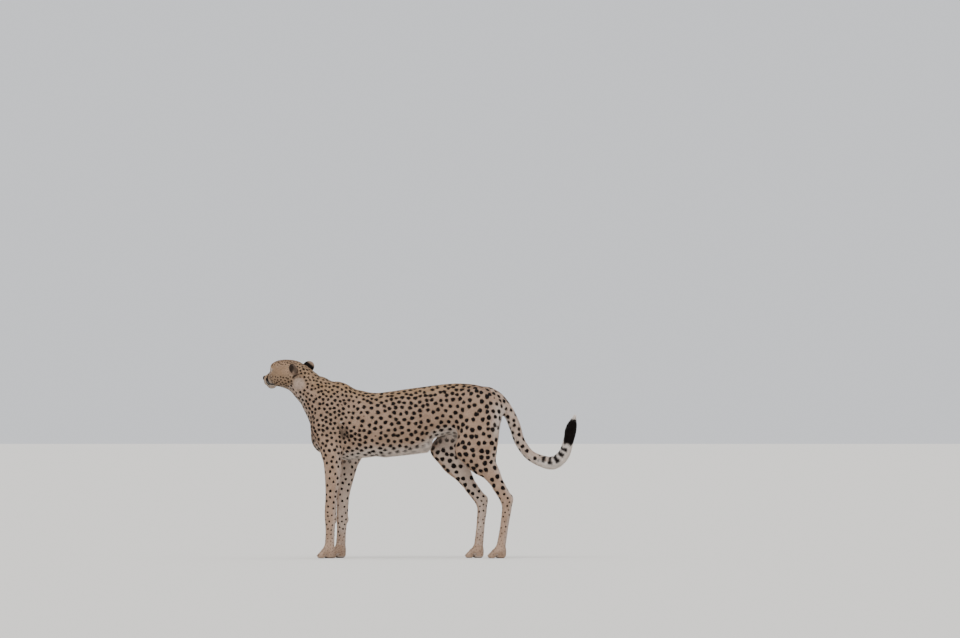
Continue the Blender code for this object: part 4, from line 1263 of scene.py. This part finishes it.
def coat_material(name, bump):
    """Cat fur: soft and matt, tan to white by region, with black spots whose edges single hairs break. The
    markings and the painted shade are read from the piece's own numbers, so skin and tufts agree."""
    material, tree, shader, place = new_material(
        name, Roughness=0.72, Specular_IOR_Level=0.16, Sheen_Weight=0.05, Sheen_Roughness=0.4
    )

    def read(key):
        return add(tree, "Attribute", {}, "Fac", attribute_name=key)

    def noise(size_mm, detail):
        return add(tree, "TexNoise", {"Vector": place, "Scale": 1000 / size_mm, "Detail": detail})

    def mix(share, one, other, **how):
        return mixed(tree, share, one, other, **how)

    fur = mix(read("white"), mix(read("warm"), FUR_PINK, FUR_GOLD), FUR_WHITE)
    fur = mix(0.16, fur, mix(eased(tree, noise(MOTTLE_MM, 2.0)), *MOTTLE))
    fur = mix(0.30, fur, mix(eased(tree, noise(HAIR_MM, 3.0)), *HAIRS), blend_type="OVERLAY")
    edge = add(tree, "Math", {0: noise(RAGGED_MM, 2.0), 1: RAGGED, 2: -RAGGED / 2}, operation="MULTIPLY_ADD")
    edge = add(tree, "Math", {0: read("spot"), 1: edge}, operation="ADD")
    inside = add(tree, "Math", {0: eased(tree, edge, SOFT, -SOFT), 1: read("shown")}, operation="MULTIPLY")
    # The dark number holds both markings and painted shade
    black = add(tree, "Math", {0: inside, 1: read("dark")}, operation="MAXIMUM")
    colour = mix(0.22, mix(black, fur, FUR_BLACK), mix(read("shade"), *SHADES), blend_type="OVERLAY")
    tree.links.new(colour, shader.inputs["Base Color"])
    if bump:
        height = add(tree, "Bump", {"Height": noise(BUMP_MM, 3.0), "Strength": 0.35, "Distance": 0.0006})
        tree.links.new(height, shader.inputs["Normal"])
    return material


SKIN = coat_material("short_fur_over_skin", True)
FUR = coat_material("cat_fur_tufts", False)

skin = mesh_piece("skin", skin_points, np.full(len(skin_quads), 4), skin_quads.ravel(), SKIN)
give(skin, spot=spot, shown=shown, dark=dark, white=white, warm=warm, shade=np.full(len(skin_points), 0.5))
flesh = [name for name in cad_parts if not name.startswith(("eye", "nose"))]
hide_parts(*flesh)

# --- Coat


def bare_at(points, normals):
    """Where no hair grows: pads, lid rims, lips and the leather of the nose."""
    bare = (points[:, 2] < 0.006) | ((points[:, 2] < 0.016) & (normals[:, 2] < -0.6))
    own = in_head(points)
    bare |= size_of((own - NOSE_AT) / np.add(NOSE_SIZE, 0.0022)) < 1.0
    for side in (1, -1):
        bare |= lid_gap(points, side) < 0.0016
        bare |= line_distance(points, ON_FACE["lip", side]) < 0.0016
    return bare


ROOT_SUNK, LOWEST = 0.0004, 0.0002  # how deep a tuft starts in the skin, and how near the floor it may come
SIZES, DEPTHS = (0.75, 1.2), (0.60, 1.0)  # least and most share of the coat's length and width, and its depth
SWAY, ROLL, BEND = 0.16, 0.35, 0.10  # spread of a tuft's turn and roll, in radians, and bend, of its length
PATCH = 0.003 * np.array(((-1, -1), (1, -1), (1, 0.3), (-1, 0.3), (-1, 0.3), (1, 0.3), (0, 1))) / 2


def tufts(name, roots, normals, runs, coat, numbers, unwrap):
    """One coat piece. A tuft is a thin blade of three points along its length: a wide root sunk in the skin,
    a middle that has risen by a bit over half the coat's depth, and a tip at the depth, a little to one side.
    Its patch on the map OFBake, about its root's place on the unwrap, is a square below a triangle."""
    count = len(roots)
    length = coat[:, LENGTH] * MM * rng.uniform(*SIZES, count)
    width = coat[:, WIDTH] * MM * rng.uniform(*SIZES, count)
    depth = coat[:, DEPTH] * MM * rng.uniform(*DEPTHS, count)
    sway = rng.normal(0.0, SWAY, count)
    side = np.cross(normals, runs)
    runs = unit(runs + side * sway[:, None])
    side = np.cross(normals, runs)
    roll = rng.normal(0.0, ROLL, count)
    across = side * np.cos(roll)[:, None] + normals * np.sin(roll)[:, None]
    bend = rng.normal(0.0, BEND, count)
    middle = roots + runs * (0.48 * length)[:, None] + normals * (0.62 * depth)[:, None]
    tip = roots + runs * length[:, None] + normals * (0.95 * depth)[:, None] + side * (bend * length)[:, None]
    foot = roots - normals * ROOT_SUNK
    half = (across * (width / 2)[:, None], across * (width * 0.42)[:, None])
    points = np.stack((foot - half[0], foot + half[0], middle + half[1], middle - half[1], tip), axis=1)
    points = points.reshape(-1, 3)
    points[:, 2] = np.maximum(points[:, 2], LOWEST)
    start = 5 * np.arange(count)[:, None]
    corners = (start + np.array((0, 1, 2, 3, 3, 2, 4))).ravel()
    piece = mesh_piece(name, points, np.tile((4, 3), count), corners, FUR)
    give(piece, **{key: np.repeat(values, 5) for key, values in numbers.items()})
    layer = piece.data.uv_layers.new(name="OFBake")
    uv = (unwrap[:, None, :] + PATCH).reshape(-1, 2)
    layer.data.foreach_set("uv", uv.astype(np.float32).ravel())


def unwrapped(names, points):
    """The skin's own unwrap for a coat piece: the angle about its strand and the place along it, each strand
    in a strip of its own."""
    strands = [STRANDS[name] for name in names]
    owner = np.argmax(np.stack([-strand.nearest(points)[0] for strand in strands]), axis=0)
    unwrap = np.zeros((len(points), 2))
    for number, strand in enumerate(strands):
        mine = owner == number
        _, place = strand.nearest(points[mine])
        around = strand.round_about(points[mine], place) / (2 * math.pi) + 0.5
        along = strand.at(strand.along, place)
        along = (along - along.min()) / np.ptp(along)
        unwrap[mine] = np.stack(((number + 0.03 + 0.94 * around) / len(names), 0.02 + 0.96 * along), axis=1)
    return unwrap


LOIN_X, RUMP_X = -0.205, 0.050  # the trunk's coat is three pieces, parted at these places along it
DENSITY = 1.0  # how many of the coat's tufts are made


def region_of(points, share):
    """The coat piece each tuft belongs to, by its strongest strand; the trunk's in three lengths."""
    owner = np.array(NAMES)[np.argmax(share, axis=1)]
    trunk = owner == "trunk"
    owner[trunk] = "chest"
    owner[trunk & (points[:, 0] > LOIN_X)] = "loin"
    owner[trunk & (points[:, 0] > RUMP_X)] = "rump"
    owner[np.char.startswith(owner, "paw_")] = "paws"
    owner[np.char.startswith(owner, "ear_")] = "ears"
    return owner


STRANDS_OF = {  # the strands a coat piece is unwrapped from, where its name isn't the strand's
    "chest": ["trunk"],
    "loin": ["trunk"],
    "rump": ["trunk"],
    "paws": ["paw_" + name for name in LEG_NAMES],
    "ears": ["ear_left", "ear_right"],
}


def grow_coat():
    """Every tuft of the coat, in one piece for each region, its root at a random place on the skin."""
    per_area = DENSITY / (coat[:, PITCH] * MM) ** 2
    area = size_of(face_sizes(skin_points, skin_quads)) / 2
    total = (area * per_area[skin_quads].mean(axis=1)).sum()
    corners, shares = scattered(skin_points, skin_quads, per_area, total)
    roots = carried(skin_points, corners, shares)
    normals = unit(carried(skin_normals, corners, shares))
    keep = ~bare_at(roots, normals)
    corners, shares, roots, normals = (rows[keep] for rows in (corners, shares, roots, normals))
    runs = laid(carried(lie, corners, shares), normals)
    coats = carried(coat, corners, shares)
    numbers = {"spot": spot_distance(roots + runs * (0.5 * coats[:, LENGTH] * MM)[:, None])}
    for key, values in (("shown", shown), ("dark", dark), ("white", white), ("warm", warm)):
        numbers[key] = carried(values, corners, shares)
    numbers["shade"] = rng.random(len(roots))
    regions = region_of(roots, carried(share, corners, shares))
    for region in np.unique(regions):
        mine = regions == region
        unwrap = unwrapped(STRANDS_OF.get(region, [region]), roots[mine])
        picked = {key: values[mine] for key, values in numbers.items()}
        tufts("coat_" + region, roots[mine], normals[mine], runs[mine], coats[mine], picked, unwrap)


grow_coat()

# --- Eyes, nose, claws and whiskers


def spun(path, radii, side, up, segments):
    """Round bodies closed to a point at both ends. A ring's points are path + radius (cos a side + sin a up),
    where side, up and the path's run are at right angles."""
    angle = 2 * math.pi * np.arange(segments) / segments
    out = np.cos(angle)[:, None] * side[..., None, :] + np.sin(angle)[:, None] * up[..., None, :]
    rings = path[:, 1:-1, None, :] + radii[:, 1:-1, None, None] * out
    bodies, rows = rings.shape[:2]
    points = np.concatenate((path[:, :1], rings.reshape(bodies, -1, 3), path[:, -1:]), axis=1)
    ring = 1 + np.arange(rows * segments).reshape(rows, segments)
    next_to = np.roll(ring, -1, axis=1)
    quads = np.stack((ring[:-1], next_to[:-1], next_to[1:], ring[1:]), axis=-1)
    start = np.stack((np.zeros_like(ring[0]), next_to[0], ring[0]), axis=-1)
    end = np.stack((np.full_like(ring[0], points.shape[1] - 1), ring[-1], next_to[-1]), axis=-1)
    corners = np.concatenate((start.ravel(), quads.ravel(), end.ravel()))
    sizes = np.concatenate((np.full(segments, 3), np.full(quads.size // 4, 4), np.full(segments, 3)))
    corners = corners[None, :] + points.shape[1] * np.arange(bodies)[:, None]
    return points.reshape(-1, 3), np.tile(sizes, bodies), corners.ravel()


def eye_material():
    """A cat's eye: an amber iris darker at its rim and round the pupil, under a wet clear cornea."""
    cornea = {"Coat_Weight": 0.7, "Coat_Roughness": 0.03, "Coat_IOR": 1.34}
    material, tree, shader, _ = new_material(
        "eye_under_wet_cornea", Roughness=0.22, Specular_IOR_Level=0.1, **cornea
    )
    polar, streak = (add(tree, "Attribute", {}, "Fac", attribute_name=key) for key in ("polar", "streak"))
    eye = mixed(tree, streak, rgb("#6d3f12"), rgb("#c98a35"))
    rings = (  # the angles from the eye's axis between which each next colour comes in
        (0.42, 0.26, "#4a2409"),  # brown round the pupil
        (0.62, 0.76, "#140a05"),  # dark rim of the iris
        (0.300, 0.270, "#020202"),  # pupil
        (0.78, 0.86, "#5b4636"),  # the white, stained brown near the iris
    )
    for start, end, code in rings:
        eye = mixed(tree, eased(tree, polar, start, end), eye, rgb(code))
    tree.links.new(eye, shader.inputs["Base Color"])
    return material


CORNEA = 0.055  # how much farther the eye's front stands out, of its radius
EYE_RINGS, EYE_ROUND = 61, 96  # circles from back to front, and points round each


def eye_piece(side, material):
    """An eyeball: circles about the way it looks, at the ball's radius x (1 + a bulge towards the front)."""
    centre, turn = eye_frame(side)
    polar = np.linspace(math.pi, 0.0, EYE_RINGS)
    radius = EYE_RADIUS * (1 + CORNEA * smooth(0.95, 0.0, polar))
    path = centre + (radius * np.cos(polar))[:, None] * turn[:, 0]
    radii = (radius * np.sin(polar))[None]
    points, sizes, corners = spun(path[None], radii, turn[:, 1], turn[:, 2], EYE_ROUND)
    name = "eye_left" if side == 1 else "eye_right"
    piece = mesh_piece(name + "_ball", points, sizes, corners, material)
    off = (points - centre) @ turn
    angle = np.arctan2(off[:, 2], off[:, 1])
    away = np.arctan2(np.hypot(off[:, 1], off[:, 2]), off[:, 0])
    streak = 0.5 + 0.22 * np.sin(31 * angle + 9 * away) + 0.18 * np.sin(47 * angle)
    streak += 0.12 * np.sin(13 * angle + 1)
    give(piece, polar=away, streak=streak)
    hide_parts(name)


eye_look = eye_material()
for side in (1, -1):
    eye_piece(side, eye_look)


def nose_shapes():
    """The nose's leather: a broad egg with a flatter top, a groove down its middle and two comma nostrils."""
    yield egg(head_point(*NOSE_AT), NOSE_SIZE, HEAD_TURN)
    nostril = (
        (0.1185, 0.0060, -0.0185, 0.0022),
        (0.1150, 0.0098, -0.0170, 0.0030),
        (0.1085, 0.0150, -0.0200, 0.0014),
    )
    for side in (1, -1):
        line = [(head_point(*sided(place, side)), radius) for *place, radius in nostril]
        yield limb(line, steps=4, cuts=True, reach=0.0016)
        below = head_point(0.112, side * 0.0185, -0.0315)
        yield egg(below, (0.014, 0.0090, 0.0080), HEAD_TURN, cuts=True, reach=0.004)
    line = [(head_point(0.1185, 0, z), 0.0010) for z in (-0.012, -0.020, -0.029)]
    yield limb(line, steps=2, cuts=True, reach=0.0020)


PEBBLE_MM = 1.1  # across one pebble of the nose's leather


def nose_piece():
    """The nose's leather, meshed from its shapes on a grid of its own."""
    axes = [np.arange(middle - 0.024, middle + 0.024, 0.0008) for middle in head_point(*NOSE_AT)]
    points, quads = meshed(list(nose_shapes()), axes)
    # Bare skin, finely pebbled and a little moist
    leather, tree, shader, place = cloudy(
        "nose_leather", 6.0, "#0a0605", "#1c1210", Roughness=0.5, Specular_IOR_Level=0.22
    )
    pebble = add(tree, "TexVoronoi", {"Vector": place, "Scale": 1000 / PEBBLE_MM})
    bumps = add(tree, "Bump", {"Height": pebble, "Strength": 0.5, "Distance": 0.0003})
    tree.links.new(bumps, shader.inputs["Normal"])
    nose = mesh_piece("nose_pad", points, np.full(len(quads), 4), quads.ravel(), leather)
    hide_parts("nose")


nose_piece()


CLAW_ARC, CLAW_TURN, CLAW_RADIUS = 0.0115, 1.25, 0.0021  # radius of a claw's arc, its angle, its own radius


def claw_piece():
    """Curved horn cones: each starts in the toe's tip and turns down as it narrows, along most of a quarter
    circle, (sin a, cos a - 1)."""
    tips = np.array([toe[2] for _, leg, _, paw in LEGS for toe in toes(leg, *paw)])
    base = tips + (-0.0040, 0.0, 0.0045)
    t = np.linspace(0, 1, 9)
    forward = np.array((-1.0, 0.0, 0.0))
    a = CLAW_TURN * t[:, None]
    arc = np.sin(a) * forward - (1 - np.cos(a)) * np.array((0, 0, 1.0))
    path = base[:, None, :] + CLAW_ARC * arc
    run = unit(np.gradient(path, axis=1))
    side = np.broadcast_to(np.array((0.0, 1.0, 0.0)), run.shape)
    up = np.cross(run, side)
    radii = np.broadcast_to(CLAW_RADIUS * (1 - t) ** 0.7 * smooth(-0.02, 0.03, t), path.shape[:2])
    path[..., 2] = np.maximum(path[..., 2], 0.0012 + radii)
    points, sizes, corners = spun(path, radii, side[:, 1:-1], up[:, 1:-1], 10)
    # Keratin, clouded between dark and pale brown, worn smooth
    horn, *_ = cloudy("claw_horn", 2.5, "#3a2f26", "#6f6254", Roughness=0.35)
    piece = mesh_piece("claws", points, sizes, corners, horn)


claw_piece()


WHISKER_RADIUS, DROOP = 0.00022, 0.20  # at the root, and the tip's fall, of the length


def whisker_piece():
    """Tapered hairs from rows on the muzzle's pads, each sweeping back and drooping as t^2 along it."""
    starts, ways, lengths = [], [], []
    for side in (1, -1):
        for row in range(3):
            for place in range(4):
                x, z = 0.094 - 0.0080 * place - 0.002 * row, -0.028 - 0.0060 * row
                starts.append(head_point(x, side * 0.040, z))
                spread = 0.62 if side == 1 else 0.38  # the far side's lie closer to the muzzle
                ways.append(HEAD_TURN @ unit((-0.45 - 0.12 * place, side * spread, 0.05 - 0.10 * row)))
                lengths.append(0.042 + 0.008 * place + 0.004 * rng.random())
    starts = settle(OUTLINE, np.array(starts), -0.002, 4)
    ways, lengths = np.array(ways), np.array(lengths)
    t = np.linspace(0, 1, 10)
    path = starts[:, None] + ways[:, None] * (lengths[:, None] * t)[..., None]
    path[..., 2] -= DROOP * lengths[:, None] * t**2
    run = unit(np.gradient(path, axis=1))
    side = unit(np.cross(run, (0, 0, 1.0)))
    radii = np.broadcast_to(WHISKER_RADIUS * (1 - t) ** 0.6, path.shape[:2])
    points, sizes, corners = spun(path, radii, side[:, 1:-1], np.cross(run, side)[:, 1:-1], 5)
    # Stiff white keratin with a slight gloss
    hair, *_ = cloudy("whisker_hair", 8.0, "#cfc8bc", "#f1ece2", Roughness=0.4)
    piece = mesh_piece("whiskers", points, sizes, corners, hair)


whisker_piece()

# --- Floor, lights and camera


def studio():
    """A wide pale floor under soft light from above, from the camera's side and from behind."""
    mesh = bpy.data.meshes.new("floor")
    far = 160.0  # half its width, in metres
    mesh.from_pydata([(-far, -far, 0), (far, -far, 0), (far, far, 0), (-far, far, 0)], [], [(0, 1, 2, 3)])
    floor = placed("floor", mesh)
    # Matt studio paper, its fibres barely seen
    paper, *_ = cloudy("floor_paper", 6.0, "#d3d0ca", "#d7d4ce", Roughness=0.95, Specular_IOR_Level=0.1)
    mesh.materials.append(paper)
    world = bpy.data.worlds.new("studio")
    bpy.context.scene.world = world
    world.use_nodes = True
    world.node_tree.nodes["Background"].inputs["Color"].default_value = rgb("#e6e8ec")
    world.node_tree.nodes["Background"].inputs["Strength"].default_value = 1.10
    lights = (  # name, where it shines from, spread in degrees, strength
        ("key", (-0.45, -1.0, 1.5), 40.0, 2.1),
        ("top", (0.3, 0.2, 1.0), 60.0, 1.2),
    )
    for name, place, spread, strength in lights:
        light = bpy.data.lights.new(name, "SUN")
        light.angle, light.energy = math.radians(spread), strength
        placed(name, light).rotation_euler = (-Vector(place)).to_track_quat("-Z", "Y").to_euler()


def long_lens():
    """The camera: a long lens far off on the animal's left, level with its flank and looking slightly up."""
    data = bpy.data.cameras.new("camera")
    data.lens, data.sensor_width = 400.0, 36.0
    data.clip_start, data.clip_end = 1.0, 1000.0
    camera = placed("camera", data)
    across = 0.265 + SHIFT[0]  # a little behind the animal's middle
    camera.location = (across, -47.47, 0.659)
    way = Vector((across, 0.0, 1.064)) - camera.location
    camera.rotation_euler = way.to_track_quat("-Z", "Y").to_euler()
    bpy.context.scene.camera = camera


studio()
long_lens()
